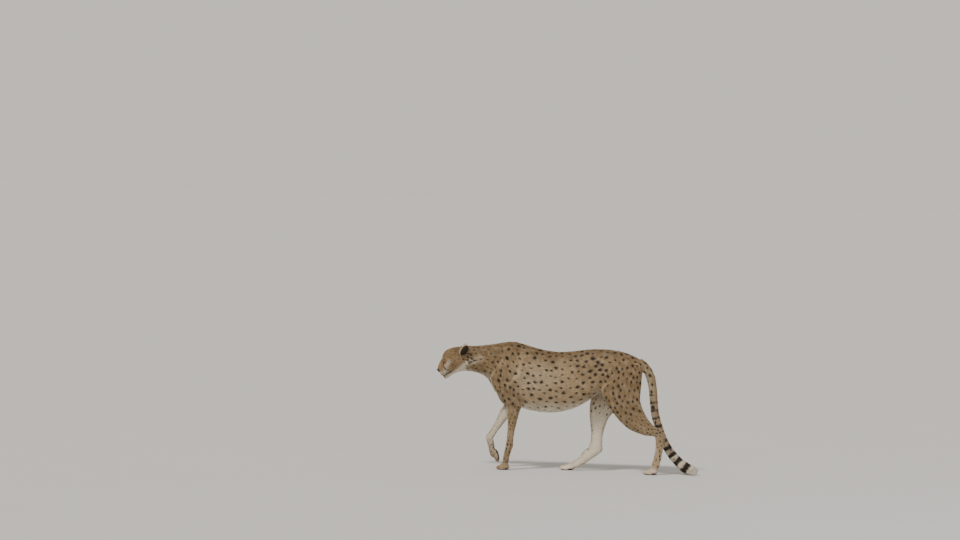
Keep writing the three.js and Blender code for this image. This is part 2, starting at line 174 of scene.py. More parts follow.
def tube(rings: NDArray) -> Shell:
    """Closes a stack of rings: a band of triangles from each ring to the next, and a fan over each end.

    Args:
        rings: Points as (ring, place round it, xyz).

    Returns:
        The closed shell, faces outward.
    """
    n, m = rings.shape[:2]
    index = np.arange(n * m).reshape(n, m)
    near, far = index[:-1], index[1:]
    near_next, far_next = np.roll(near, -1, axis=1), np.roll(far, -1, axis=1)
    bands = [np.stack([near, far, far_next], -1), np.stack([near, far_next, near_next], -1)]
    first, last = np.full(m, n * m), np.full(m, n * m + 1)
    fans = [
        np.stack([first, index[0], np.roll(index[0], -1)], -1),
        np.stack([last, np.roll(index[-1], -1), index[-1]], -1),
    ]
    points = np.vstack([rings.reshape(-1, 3), rings[0].mean(axis=0), rings[-1].mean(axis=0)])
    return Shell(points, np.vstack([f.reshape(-1, 3) for f in bands + fans])).outward()


def ball(centre: NDArray, radii: NDArray, around: int = 40, rings: int = 22) -> Shell:
    """An ellipsoid: the centre plus, for each latitude and longitude, the radii times the unit sphere's point.

    Args:
        centre: Its middle.
        radii: Half its size along x, y and z.
        around: Points round a ring.
        rings: Rings from pole to pole.

    Returns:
        The closed shell.
    """
    polar = np.linspace(0.03, math.pi - 0.03, rings)[:, None]
    turn = np.linspace(0, 2 * math.pi, around, endpoint=False)[None, :]
    sphere = np.stack(
        [np.cos(polar) + 0 * turn, np.sin(polar) * np.cos(turn), np.sin(polar) * np.sin(turn)], axis=-1
    )
    return tube(np.asarray(centre) + sphere * np.asarray(radii))


def joined(shells: list[Shell]) -> Shell:
    """Puts shells together in one, as they are."""
    starts = np.cumsum([0] + [len(s.points) for s in shells[:-1]])
    points = np.vstack([s.points for s in shells])
    return Shell(points, np.vstack([s.faces + start for s, start in zip(shells, starts)]))


def mesh_of(name: str, points: NDArray, faces: NDArray) -> Mesh:
    """A mesh from whole arrays.

    Args:
        name: The mesh's name.
        points: Points in metres, one a row.
        faces: Point numbers, one face a row.

    Returns:
        The mesh, shaded smooth.
    """
    mesh = bpy.data.meshes.new(name)
    mesh.vertices.add(len(points))
    mesh.vertices.foreach_set("co", points.astype(np.float32).ravel())
    mesh.loops.add(faces.size)
    mesh.loops.foreach_set("vertex_index", faces.astype(np.int32).ravel())
    mesh.polygons.add(len(faces))
    mesh.polygons.foreach_set("loop_start", np.arange(0, faces.size, faces.shape[1], dtype=np.int32))
    mesh.update(calc_edges=True)
    mesh.shade_smooth()
    return mesh


def taken(source: bpy_prop_collection, name: str, width: int, kind: type = np.float32) -> NDArray:
    """Reads one property of every element of a mesh at once.

    Args:
        source: The mesh's points, edges, loops or faces.
        name: The property.
        width: Numbers to an element.
        kind: The type of number.

    Returns:
        The numbers, one element a row.
    """
    flat = np.empty(len(source) * width, kind)
    source.foreach_get(name, flat)
    return flat.reshape(-1, width) if width > 1 else flat


def points_of(mesh: Mesh) -> NDArray:
    """A mesh's points, one a row."""
    return taken(mesh.vertices, "co", 3).astype(float)


def normals_of(mesh: Mesh) -> NDArray:
    """The outward direction at each of a mesh's points."""
    return taken(mesh.vertex_normals, "vector", 3).astype(float)


def set_points(mesh: Mesh, points: NDArray) -> None:
    """Moves a mesh's points to new places."""
    mesh.vertices.foreach_set("co", points.astype(np.float32).ravel())
    mesh.update()


def set_attributes(mesh: Mesh, fields: dict[str, NDArray]) -> None:
    """Stores each field, one number to a point, under its name."""
    for name, values in fields.items():
        mesh.attributes.new(name, "FLOAT", "POINT").data.foreach_set("value", values.astype(np.float32))


def finished(obj: Object, slot: str, *nodes: str) -> Object:
    """Lets a piece ride on the body, hides the frame's nodes it stands for, and logs it with its slot's name.

    Args:
        obj: The piece.
        slot: The name of its material slot, which only goes into the log.
        nodes: Nodes that it replaces.

    Returns:
        The same object.
    """
    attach(obj, "root")
    if nodes:
        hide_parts(*nodes)
    log.info("%s: %d faces, slot %s", obj.name, len(obj.data.polygons), slot)
    return obj


def new_object(name: str, mesh: Mesh, material: Material | None = None) -> Object:
    """Puts a mesh in the scene as an object at the origin.

    Args:
        name: The object's name.
        mesh: Its mesh.
        material: What it is made of.

    Returns:
        The object.
    """
    obj = bpy.data.objects.new(name, mesh)
    bpy.context.scene.collection.objects.link(obj)
    if material:
        mesh.materials.append(material)
    return obj


# ------------------------------ body plan
class Side(Enum):
    """The two sides, with the sign of y on each."""

    LEFT = -1
    RIGHT = 1


class Region(Enum):
    """The kinds of coat."""

    HEAD = "head"
    NECK = "neck"
    TRUNK = "trunk"
    UPPER_LEG = "upper_leg"
    LOWER_LEG = "lower_leg"
    PAW = "paw"
    TAIL = "tail"
    BRUSH = "brush"


@dataclass(frozen=True)
class LocalFrame:
    """A frame of its own for a part: where its origin lies and which way its x, y and z run."""

    origin: NDArray
    axes: NDArray

    def place(self, points: NDArray) -> NDArray:
        """From this frame to the animal's."""
        return self.origin + np.asarray(points) @ self.axes

    def read(self, points: NDArray) -> NDArray:
        """From the animal's frame to this one."""
        return (points - self.origin) @ self.axes.T

    def turn(self, vectors: NDArray) -> NDArray:
        """Directions from this frame to the animal's."""
        return np.asarray(vectors) @ self.axes

    def carry(self, shell: Shell) -> Shell:
        """A shell from this frame to the animal's, its faces outward."""
        return Shell(self.place(shell.points), shell.faces).outward()


@dataclass(frozen=True)
class Loft:
    """A run of sections between two rails in the side view.

    Each row is [x, z of one rail, x, z of the other, y, half-width, egg]. A section is an oval in the plane of
    its two rail points and the y axis; a positive egg narrows it on the first rail's side.
    """

    rows: NDArray

    def at(self, t: NDArray) -> tuple[NDArray, NDArray, NDArray, NDArray, NDArray]:
        """Reads the sections at places along the rows.

        Args:
            t: The places.

        Returns:
            Middle, unit direction to the first rail, half-depth, half-width and egg.
        """
        row = smooth_rows(self.rows, t)
        a, b = row[:, [0, 1]], row[:, [2, 3]]
        middle = np.stack([(a + b)[:, 0] / 2, row[:, 4], (a + b)[:, 1] / 2], axis=-1)
        across = unit(a - b)
        up = np.stack([across[:, 0], 0 * across[:, 0], across[:, 1]], axis=-1)
        return middle, up, np.linalg.norm(a - b, axis=1) / 2, row[:, 5], row[:, 6]

    def shell(self, start: float = 0, stop: float | None = None, spans: int = 4, sides: int = 40) -> Shell:
        """The surface: middle + up * depth * sin(angle) + y * half * cos(angle) * (1 - egg * sin(angle)).

        Args:
            start: First place along the rows.
            stop: Last place along them.
            spans: Rings between two rows.
            sides: Points round a ring.

        Returns:
            The closed shell.
        """
        stop = len(self.rows) - 1 if stop is None else stop
        t = np.linspace(start, stop, int((stop - start) * spans) + 1)
        middle, up, depth, half, egg = (v[:, None] for v in self.at(t))
        angle = np.linspace(0, 2 * math.pi, sides, endpoint=False)[None, :]
        out = half * np.cos(angle) * (1 - egg * np.sin(angle))
        rise = (depth * np.sin(angle))[..., None]
        return tube(middle + up * rise + out[..., None] * np.array([0, 1, 0]))


@dataclass(frozen=True)
class BodyPlan:
    """The animal's form in millimetres: the same sections and masses that its solids are made from."""

    bones: tuple = (200, 198, 233, 99)
    withers: tuple = (12, 742)
    fore_y: tuple = (50, 68, 72, 60, 55)
    fore_ways: dict = field(
        default_factory=lambda: {Side.LEFT: (112, 59, 95, 101), Side.RIGHT: (114, 64, 121, 76)}
    )
    fore_sole: dict = field(default_factory=lambda: {Side.LEFT: 0, Side.RIGHT: 103})
    knuckle_height: float = 34
    hind_places: dict = field(default_factory=lambda: {Side.LEFT: 902, Side.RIGHT: 401})
    hind_y: float = 56
    spread: float = 3
    head_at: tuple = (-259, 691)
    head_pitch: float = 42
    eye: tuple = (125, 36, 54)
    paw_heel: tuple = (20, 28, 31)
    toe: tuple = (22, 11.5, 15.5)
    toe_pitch: float = 14.2
    sole_cut: float = 2.4
    fore_reach: float = 33
    hind_reach: float = 45

    def head(self) -> LocalFrame:
        """The head's frame: x forward from the nape, y to the animal's left, z up."""
        c, s = math.cos(math.radians(self.head_pitch)), math.sin(math.radians(self.head_pitch))
        axes = np.array([[-c, 0, -s], [0, -1, 0], [-s, 0, c]])
        return LocalFrame(np.array([self.head_at[0], 0, self.head_at[1]], float), axes)

    def paw(self, place: tuple, side: Side, sole: float) -> LocalFrame:
        """A paw's frame: x forward, z up, its origin on the sole under the knuckles.

        Args:
            place: Where its origin lies.
            side: Which side it is on.
            sole: How far it is tipped, in degrees.

        Returns:
            The frame.
        """
        yaw, tip = math.pi - math.radians(self.spread * side.value), math.radians(sole)
        cy, sy, ct, st = math.cos(yaw), math.sin(yaw), math.cos(tip), math.sin(tip)
        axes = np.array([[cy * ct, sy * ct, -st], [-sy, cy, 0], [cy * st, sy * st, ct]])
        return LocalFrame(np.array(place, float), axes)

    @staticmethod
    def nose_distance(local: NDArray) -> NDArray:
        """How far from the nose's middle a place in the head's frame is: 1 at the edge of its bare patch."""
        return ellipsoid_distance(local, (193, 0, 33), (13, 17.8, 14))

    def shift(self) -> NDArray:
        """How far the frame's eyes lie from where the tables put them, in metres."""
        low, high = zip(*(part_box(f"eye_{side.name.lower()}") for side in Side))
        seen = (np.min(np.array(low), axis=0) + np.max(np.array(high), axis=0)) / 2
        return seen - self.head().place([self.eye[0], 0, self.eye[2]]) / 1000

    @staticmethod
    def spine() -> Loft:
        """Neck and trunk, nape to tail root: the rails are the back and the underside."""
        table = np.array([
            [-300, 736, -316, 592, 58, 0], [-262, 741, -270, 588, 63, 0], [-190, 744, -212, 585, 68, 0.04],
            [-98, 757, -152, 566, 78, 0.08], [-28, 771, -112, 528, 86, 0.16], [28, 776, -76, 472, 93, 0.24],
            [92, 763, -10, 410, 98, 0.22], [160, 744, 110, 372, 99, 0.12], [232, 730, 210, 356, 103, 0.06],
            [306, 724, 300, 358, 104, 0.04], [382, 730, 382, 378, 101, 0.04], [456, 741, 458, 414, 95, 0.06],
            [526, 748, 530, 462, 90, 0.08], [600, 748, 604, 494, 91, 0.1], [672, 740, 672, 508, 86, 0.1],
            [736, 723, 730, 522, 74, 0.12], [786, 699, 776, 548, 54, 0.1], [816, 668, 806, 588, 30, 0],
        ])
        return Loft(np.insert(table, 4, 0, axis=1))

    @staticmethod
    def skull() -> Loft:
        """The head in its own frame, nape to nose: the rails are its top and its underside."""
        table = np.array([
            [-48, 22, 0, -96, 52, 0], [-20, 43, 30, -86, 58, 0], [2, 60, 48, -80, 63, 0],
            [28, 79, 66, -74, 68, 0], [56, 92, 86, -64, 70, 0], [84, 98, 106, -53, 69, 0],
            [108, 95, 124, -46, 62, 0.02],
            [131, 82, 142, -42, 50, 0.08], [151, 70, 158, -40, 39, 0.12], [170, 60, 173, -38, 32.5, 0.1],
            [186, 50, 186, -33, 29, 0.04], [197, 34, 196, -10, 18, 0],
        ])
        return Loft(np.insert(table, 4, 0, axis=1))

    @staticmethod
    def face() -> list[Shell]:
        """The rounded masses on the skull, in the head's frame: whisker pads, chin and brows."""
        pads = [ball([174, 15 * s, 4], [24, 20, 22]) for s in (-1, 1)]
        brows = [ball([112, 29 * s, 67], [28, 18, 16]) for s in (-1, 1)]
        return [*pads, ball([176, 0, -21], [20, 19, 17]), *brows]

    def foreleg(self, side: Side) -> Loft:
        """A foreleg: each section stands square to its bone, and at a joint half-way between two.

        A row of the table is [bone, share of its length, half-depth ahead, half-depth behind, half-width].

        Args:
            side: Which leg.

        Returns:
            The loft, in the animal's frame.
        """
        flesh = np.array([
            [0, 0.02, 46, 62, 16], [0, 0.3, 52, 80, 27], [0, 0.7, 52, 92, 36], [1, 0.02, 46, 94, 41],
            [1, 0.35, 46, 86, 42], [1, 0.7, 43, 62, 37], [2, 0, 39, 46, 32], [2, 0.16, 36, 38, 29],
            [2, 0.38, 28, 30, 25], [2, 0.66, 21, 23, 20], [2, 0.9, 20.5, 22, 20.5], [3, 0, 21, 25, 21.5],
            [3, 0.3, 19, 22, 20], [3, 0.68, 19, 20, 22], [3, 1, 18, 21, 24], [3, 1.18, 14, 15, 18],
        ])
        joints = self.fore_joints(side)
        aim = np.arctan2(*np.diff(joints, axis=0).T[::-1])
        bone, share = flesh[:, 0].astype(int), flesh[:, 1]
        before, after = aim[np.maximum(bone - 1, 0)], aim[np.minimum(bone + 1, len(aim) - 1)]
        bend = 0.3
        angle = aim[bone] + np.where(share < bend, (before - aim[bone]) / 2 * (1 - share / bend), 0)
        angle += np.where(share > 1 - bend, (after - aim[bone]) / 2 * (1 - (1 - share) / bend), 0)
        middle = joints[bone] + (joints[bone + 1] - joints[bone]) * share[:, None]
        ahead = np.stack([np.sin(angle), -np.cos(angle)], axis=-1)
        y_at = np.array(self.fore_y)
        y = side.value * (y_at[bone] + (y_at[bone + 1] - y_at[bone]) * share)
        back, front = middle - ahead * flesh[:, 3:4], middle + ahead * flesh[:, 2:3]
        return Loft(np.column_stack([back, front, y, flesh[:, 4], 0 * y]))

    def fore_joints(self, side: Side) -> NDArray:
        """The x and z of a foreleg's joints: each bone's length laid off along its way from the one above."""
        ways = np.radians(self.fore_ways[side])
        steps = np.stack([np.cos(ways), -np.sin(ways)], axis=-1) * np.array(self.bones)[:, None]
        return np.vstack([self.withers, self.withers + np.cumsum(steps, axis=0)])

    @staticmethod
    def hindleg(side: Side) -> Loft:
        """A hind leg between its back and front rails.

        Args:
            side: Which leg.

        Returns:
            The loft, in the animal's frame.
        """
        left = [
            [792, 668, 672, 700, 44, 22], [806, 628, 612, 640, 54, 36], [810, 572, 566, 560, 62, 44],
            [806, 520, 570, 480, 66, 46], [803, 480, 600, 424, 70, 46], [804, 448, 632, 380, 73, 44],
            [814, 414, 664, 340, 75, 41], [828, 384, 698, 308, 76, 37], [848, 350, 746, 271, 76, 32],
            [886, 303, 832, 240, 74, 26], [931, 279, 893, 234, 68, 22], [966, 247, 902, 222, 62, 21.5],
            [960, 205, 906, 196, 60, 20.5], [953, 157, 906, 154, 58, 20], [946, 105, 897, 100, 57, 20],
            [940, 62, 885, 60, 56, 23], [932, 38, 888, 36, 56, 18],
        ]
        right = [
            [792, 668, 668, 700, 44, 22], [800, 622, 606, 640, 54, 36], [796, 570, 560, 570, 60, 43],
            [770, 516, 528, 500, 66, 46], [732, 462, 512, 448, 70, 46], [694, 410, 505, 402, 73, 43],
            [655, 364, 504, 362, 74, 38], [622, 322, 508, 322, 74, 33], [604, 275, 513, 275, 72, 28],
            [592, 225, 519, 225, 68, 23], [589, 172, 514, 168, 62, 21.5], [590, 126, 500, 140, 60, 21.5],
            [552, 90, 474, 118, 58, 20.5], [508, 58, 456, 90, 57, 20], [474, 34, 424, 64, 56, 22],
            [446, 18, 404, 46, 56, 24], [428, 10, 390, 36, 56, 22],
        ]
        table = np.array(left if side is Side.LEFT else right, float)
        table[:, 4] *= side.value
        return Loft(np.insert(table, 6, 0, axis=1))

    @staticmethod
    def tail() -> Loft:
        """The tail as a round loft: each ring is square to the way from the row before it to the next.

        Returns:
            The loft, in the animal's frame.
        """
        line = np.array([
            [782, 0, 676, 30], [826, 0, 648, 29], [861, 2, 598, 27], [880, 8, 528, 25], [890, 14, 448, 24],
            [902, 18, 364, 24], [928, 20, 281, 24], [961, 20, 202, 24.5], [1003, 16, 134, 26],
            [1050, 8, 82, 28.5], [1098, 0, 45, 30], [1138, -6, 28, 26], [1158, -8, 23, 14],
        ])
        last = len(line) - 1
        index = np.arange(len(line))
        way = unit((line[np.minimum(index + 1, last)] - line[np.maximum(index - 1, 0)])[:, [0, 2]])
        square = np.stack([-way[:, 1], way[:, 0]], axis=-1) * line[:, 3:4]
        middle = line[:, [0, 2]]
        return Loft(np.column_stack([middle + square, middle - square, line[:, 1], line[:, 3], 0 * index]))

    def paws(self) -> dict[str, tuple[LocalFrame, float, float]]:
        """Sets each paw under its leg's last joint.

        Returns:
            Each paw's frame, how far its toes reach and where its heel sits, by its node's name.
        """
        found = {}
        for side in Side:
            knuckle = self.fore_joints(side)[-1]
            sole = math.radians(self.fore_sole[side])
            drop = self.knuckle_height if self.fore_sole[side] else knuckle[1]
            x, z = knuckle[0] + drop * math.sin(sole), knuckle[1] - drop * math.cos(sole)
            name = side.name.lower()
            fore = self.paw((x, side.value * self.fore_y[-1], z), side, self.fore_sole[side])
            hind = self.paw((self.hind_places[side], side.value * self.hind_y, 0), side, 0)
            found[f"forepaw_{name}"] = (fore, self.fore_reach, 5)
            found[f"hindfoot_{name}"] = (hind, self.hind_reach, 7)
        return found

    def toes(self, reach: float) -> NDArray:
        """The middles of the four toes in the paw's frame, the outer two set back from the reach."""
        place = np.array([-1.5, -0.5, 0.5, 1.5])
        x = reach - 13 * (np.abs(place) > 1)
        return np.stack([x, place * self.toe_pitch, np.full(4, self.toe[2] - self.sole_cut)], axis=-1)

    def paw_shells(self, at: LocalFrame, reach: float, heel_x: float) -> list[Shell]:
        """Pad and toes of one paw.

        Args:
            at: The paw's frame.
            reach: How far its toes reach.
            heel_x: Where its heel sits.

        Returns:
            The shells, in the animal's frame.
        """
        pad, width, length = self.paw_heel
        shells = [ball([heel_x, 0, pad], [length, width, pad + self.sole_cut])]
        shells += [ball(toe, self.toe, 28, 16) for toe in self.toes(reach)]
        return [at.carry(s) for s in shells]


SHIFT = BodyPlan().shift()


def in_frame(points: NDArray) -> NDArray:
    """From the tables' millimetres to the frame's metres."""
    return points * 0.001 + SHIFT


def placed_piece(name: str, shell: Shell, material: Material, slot: str, *nodes: str) -> Object:
    """Makes a finished piece of a shell that is in the animal's frame, in millimetres."""
    obj = new_object(name, mesh_of(name, in_frame(shell.points), shell.faces), material)
    return finished(obj, slot, *nodes)


# ------------------------------ how the coat lies
@dataclass(frozen=True)
class CoatSpec:
    """How the coat grows on one kind of region, in millimetres, degrees and tufts to the square centimetre."""

    length: float
    width: float
    per_cm2: float
    lift: float
    depth: float
    spot_gap: float
    spot_radius: float


COATS = {
    Region.HEAD: CoatSpec(6.5, 1.5, 34, 13, 1.6, 15, 3.1),
    Region.NECK: CoatSpec(15, 2.3, 14, 15, 3.6, 25, 5.6),
    Region.TRUNK: CoatSpec(17, 2.5, 10.8, 15, 4.4, 33, 8.7),
    Region.UPPER_LEG: CoatSpec(14, 2.3, 12, 14, 3.8, 28, 7.5),
    Region.LOWER_LEG: CoatSpec(9, 1.7, 21, 12, 1.9, 19, 4.7),
    Region.PAW: CoatSpec(4.6, 1.2, 38, 12, 1.1, 15, 2.4),
    Region.TAIL: CoatSpec(15, 2.5, 13, 16, 3.8, 30, 8.0),
    Region.BRUSH: CoatSpec(22, 3.0, 16, 20, 5.0, 60, 0.0),
}


@dataclass(frozen=True)
class Guide:
    """The line a length of body is built round: its middle, its section there and the way its hair runs."""

    name: str
    region: Region
    middle: NDArray
    along: NDArray
    up: NDArray
    depth: NDArray
    half: NDArray
    arc: NDArray

    @classmethod
    def of_loft(
        cls, name: str, region: Region, loft: Loft, start: float, stop: float, at: LocalFrame | None = None,
        flow: int = 1,
    ) -> "Guide":
        """Samples a loft's middle line.

        Args:
            name: The guide's name.
            region: Its kind of coat.
            loft: The loft, in the animal's frame or in at.
            start: First place along the rows.
            stop: Last place along them.
            at: The frame that the loft is in.
            flow: 1 where the hair runs up the rows' order, -1 where it runs back.

        Returns:
            The guide, in the animal's frame.
        """
        t = np.linspace(start, stop, int((stop - start) * 5) + 1)
        middle, up, depth, half, _ = loft.at(t)
        if at:
            middle, up = at.place(middle), at.turn(up)
        way = np.gradient(middle, axis=0)
        arc = np.concatenate([[0], np.cumsum(np.linalg.norm(np.diff(middle, axis=0), axis=1))])
        return cls(name, region, middle, unit(way) * flow, unit(up), depth, half, arc)

    @classmethod
    def of_paw(cls, name: str, at: LocalFrame, reach: float) -> "Guide":
        """The line of a paw, from under the ankle to the tips of the toes.

        Args:
            name: The guide's name.
            at: The paw's frame.
            reach: How far its toes reach.

        Returns:
            The guide, in the animal's frame.
        """
        x = np.linspace(-26, reach + 24, 12)
        middle = at.place(np.stack([x, 0 * x, 0 * x + 18], axis=-1))
        along = np.repeat(at.turn([[1, 0, 0]]), len(x), axis=0)
        up = np.repeat(at.turn([[0, 0, 1]]), len(x), axis=0)
        return cls(name, Region.PAW, middle, along, up, 0 * x + 24, 0 * x + 29, x - x[0])

    def locate(self, points: NDArray) -> tuple[NDArray, NDArray, NDArray, NDArray, NDArray]:
        """Where points lie about the line: each is read in the section of the line's nearest sample.

        Args:
            points: Places in the animal's frame.

        Returns:
            How well the guide fits (1 on its own surface, more outside), the sample's number, the distance
            along the line, and the shares of depth and half-width.
        """
        square = (self.middle**2).sum(axis=1) - 2 * points @ self.middle.T
        near = square.argmin(axis=1)
        q = points - self.middle[near]
        along = np.einsum("ij,ij->i", q, self.along[near])
        rise = np.einsum("ij,ij->i", q, self.up[near]) / self.depth[near]
        out = q[:, 1] / self.half[near]
        fit = np.hypot(rise, out) + np.maximum(np.abs(along) - SAMPLE_REACH, 0) / 16
        return fit, near, self.arc[near] + np.clip(along, -SAMPLE_REACH, SAMPLE_REACH), rise, out


@dataclass
class Reading:
    """What the guides say about a set of points: the fields that the skin holds and the tufts take from it."""

    guide: NDArray
    arc: NDArray
    rise: NDArray
    out: NDArray
    lie: NDArray
    spec: dict[str, NDArray]


class Guides:
    """All the lines of the body, read together."""

    def __init__(self, plan: BodyPlan) -> None:
        """Lays the guides along the plan's lofts and paws."""
        self.plan = plan
        spine, head = plan.spine(), plan.head()
        self.all = [
            Guide.of_loft("head", Region.HEAD, plan.skull(), 1.5, 11, head, -1),
            Guide.of_loft("neck", Region.NECK, spine, 1.2, 4.2),
            Guide.of_loft("trunk", Region.TRUNK, spine, 4.2, 17),
            Guide.of_loft("tail", Region.TAIL, plan.tail(), 0.5, 9.3),
            Guide.of_loft("brush", Region.BRUSH, plan.tail(), 9.3, 12),
        ]
        for side in Side:
            tag = side.name.lower()
            fore, hind = plan.foreleg(side), plan.hindleg(side)
            self.all += [
                Guide.of_loft(f"shoulder_{tag}", Region.UPPER_LEG, fore, 0, 6),
                Guide.of_loft(f"forearm_{tag}", Region.LOWER_LEG, fore, 6, 14),
                Guide.of_loft(f"thigh_{tag}", Region.UPPER_LEG, hind, 0, 7),
                Guide.of_loft(f"shank_{tag}", Region.LOWER_LEG, hind, 7, len(hind.rows) - 2),
            ]
        self.all += [Guide.of_paw(name, at, reach) for name, (at, reach, _) in plan.paws().items()]
        self.names = [g.name for g in self.all]

    def read(self, points: NDArray) -> Reading:
        """Reads every guide, and blends their coats by how well they fit: weight = e to the 9 (best - fit).

        Args:
            points: Places in the animal's frame, in millimetres.

        Returns:
            The fields at those places.
        """
        found = [g.locate(points) for g in self.all]
        fit = np.stack([f[0] for f in found])
        best = fit.argmin(axis=0)
        weight = np.exp(-9 * (fit - fit.min(axis=0)))
        weight /= weight.sum(axis=0)
        pick = np.arange(len(points))
        arc, rise, out = (np.stack([f[k] for f in found])[best, pick] for k in (2, 3, 4))
        lie = sum(w[:, None] * g.along[f[1]] for w, g, f in zip(weight, self.all, found))
        spec = {
            name: np.array([getattr(COATS[g.region], name) for g in self.all]) @ weight
            for name in CoatSpec.__dataclass_fields__
        }
        return Reading(best, arc, rise, out, lie, spec)

    def of(self, reading: Reading, *starts: str) -> NDArray:
        """Which points belong to guides whose names start so."""
        wanted = [any(n.startswith(s) for s in starts) for n in self.names]
        return np.array(wanted)[reading.guide]


def line_distance(points: NDArray, line: NDArray) -> NDArray:
    """The least distance from each point to a broken line: to each piece, with the foot held between its ends.

    Args:
        points: Places, one a row.
        line: The line's corners, one a row.

    Returns:
        One distance for each place.
    """
    best = np.full(len(points), 1e9)
    for a, b in zip(line[:-1], line[1:]):
        d = b - a
        share = np.clip((points - a) @ d / max(d @ d, 1e-9), 0, 1)[:, None]
        best = np.minimum(best, np.linalg.norm(points - a - share * d, axis=1))
    return best


def snapped(line: NDArray, surface: NDArray, places: int = 28) -> NDArray:
    """Draws a broken line on to a surface: even places along it, each moved to the surface's nearest point.

    Args:
        line: The line's corners, one a row.
        surface: Points of the surface.
        places: How many places along the line.

    Returns:
        The line on the surface.
    """
    run = np.concatenate([[0], np.cumsum(np.linalg.norm(np.diff(line, axis=0), axis=1))])
    even = np.linspace(0, run[-1], places)
    spread = np.stack([np.interp(even, run, line[:, k]) for k in range(3)], axis=-1)
    far = ((spread[:, None] - surface[None]) ** 2).sum(axis=-1)
    return surface[far.argmin(axis=1)]


def edges_of(mesh: Mesh) -> NDArray:
    """The two point numbers of each edge."""
    return taken(mesh.edges, "vertices", 2, np.int32)


def neighbour_mean(values: NDArray, edges: NDArray) -> NDArray:
    """At each point, the mean of a field at the points it shares an edge with.

    Args:
        values: The field, one point a row.
        edges: The two point numbers of each edge.

    Returns:
        The means, one point a row.
    """
    a, b = edges.T
    n = len(values)
    count = np.maximum(np.bincount(a, minlength=n) + np.bincount(b, minlength=n), 1)
    sums = [np.bincount(a, v[b], n) + np.bincount(b, v[a], n) for v in values.T]
    return (np.array(sums) / count).T


# ------------------------------ eyes and lids
@dataclass(frozen=True)
class EyePlan:
    """One eye in the head's frame: a ball, the way it looks, and the almond gap between its lids."""

    side: Side
    centre: tuple = (123.5, 34.0, 53.5)
    radius: float = 15.2
    azimuth: float = 46
    elevation: float = 14
    slant: float = 20
    half_length: float = 13.2
    rise_upper: float = 7.5
    rise_lower: float = 6.6
    lid: float = 1.3

    def frame(self) -> LocalFrame:
        """The eye's frame: x towards the inner corner, y up along the lids, z the way it looks.

        Returns:
            The frame, inside the head's.
        """
        s = -self.side.value
        az, el, sl = (math.radians(v) for v in (self.azimuth, self.elevation, self.slant))
        look = np.array([math.cos(el) * math.cos(az), s * math.cos(el) * math.sin(az), math.sin(el)])
        inner = unit(np.cross([0, 0, 1], look)) * -s
        upward = np.cross(look, inner) if s < 0 else np.cross(inner, look)
        upward = unit(upward * np.sign(upward[2]))
        x = inner * math.cos(sl) - upward * math.sin(sl)
        y = upward * math.cos(sl) + inner * math.sin(sl)
        centre = np.array(self.centre) * [1, s, 1]
        return LocalFrame(centre, np.stack([x, y, look]))

    def gap(self, x: NDArray, y: NDArray) -> NDArray:
        """How far inside the almond a place is: its way to the nearer arc, y = rise * (1 - (x / half)^2)."""
        arch = 1 - (x / self.half_length) ** 2
        return np.minimum(self.rise_upper * arch - y, y + self.rise_lower * arch)

    @staticmethod
    def near(q: NDArray, reach: float, back: float) -> NDArray:
        """Which places in the eye's frame are within reach of its axis, and have z above back."""
        return (np.hypot(q[:, 0], q[:, 1]) < reach) & (q[:, 2] > back)

    def shape_lids(self, points: NDArray) -> NDArray:
        """Draws skin near the eye on to the lids: a ball a little larger than the eye's, open along the almond.

        Args:
            points: Skin points in the head's frame.

        Returns:
            The points, moved along the way the eye looks.
        """
        frame_here = self.frame()
        q = frame_here.read(points)
        rho = np.hypot(q[:, 0], q[:, 1])
        here = self.near(q, 27, -6)
        outer = self.radius + self.lid
        dome = np.sqrt(np.maximum(outer**2 - rho**2, 40))
        draw = ramp(rho, 25, 12.5)
        z = q[:, 2] * (1 - draw) + dome * draw
        behind = np.sqrt(np.maximum(self.radius**2 - rho**2, 25)) - 3.5
        z = z + (behind - z) * ramp(self.gap(q[:, 0], q[:, 1]), -0.25, 0.45)
        q[:, 2] = np.where(here, z, q[:, 2])
        return np.where(here[:, None], frame_here.place(q), points)

    def eyeball(self) -> tuple[Shell, NDArray]:
        """The ball with its cornea: radius + 1.6 mm * (1 - (off / 9.5)^2)^2 inside 9.5 mm of the axis.

        Returns:
            The shell in the head's frame, and each point's distance from the axis in millimetres.
        """
        polar = np.concatenate([np.linspace(0.01, 0.95, 40), np.linspace(1.0, math.pi - 0.05, 18)])[:, None]
        turn = np.linspace(0, 2 * math.pi, 64, endpoint=False)[None, :]
        off = self.radius * np.sin(polar)
        swell = 1.6 * np.maximum(1 - (off / 9.5) ** 2, 0) ** 2 * (polar < 1.5)
        r = self.radius + swell
        across = r * np.sin(polar)
        along = r * np.cos(polar) + 0 * turn
        shell = tube(np.stack([across * np.cos(turn), across * np.sin(turn), along], axis=-1))
        beyond = 40 * (shell.points[:, 2] < 0)
        return self.frame().carry(shell), np.hypot(shell.points[:, 0], shell.points[:, 1]) + beyond


# ------------------------------ skin
def applied(obj: Object) -> Mesh:
    """The mesh that an object's modifiers make; the object itself is removed."""
    result = bpy.data.meshes.new_from_object(obj.evaluated_get(bpy.context.evaluated_depsgraph_get()))
    bpy.data.objects.remove(obj)
    return result


def voxel_union(name: str, shell: Shell, grain: float) -> Mesh:
    """Joins overlapping closed shells in one even quad mesh, through Blender's voxel remesher.

    Args:
        name: The mesh's name.
        shell: The shells, in millimetres.
        grain: The size of a voxel, in millimetres.

    Returns:
        The mesh, in millimetres.
    """
    obj = new_object(name, mesh_of(name, shell.points, shell.faces))
    union = obj.modifiers.new("union", "REMESH")
    union.mode, union.voxel_size, union.use_smooth_shade = "VOXEL", grain, True
    return applied(obj)


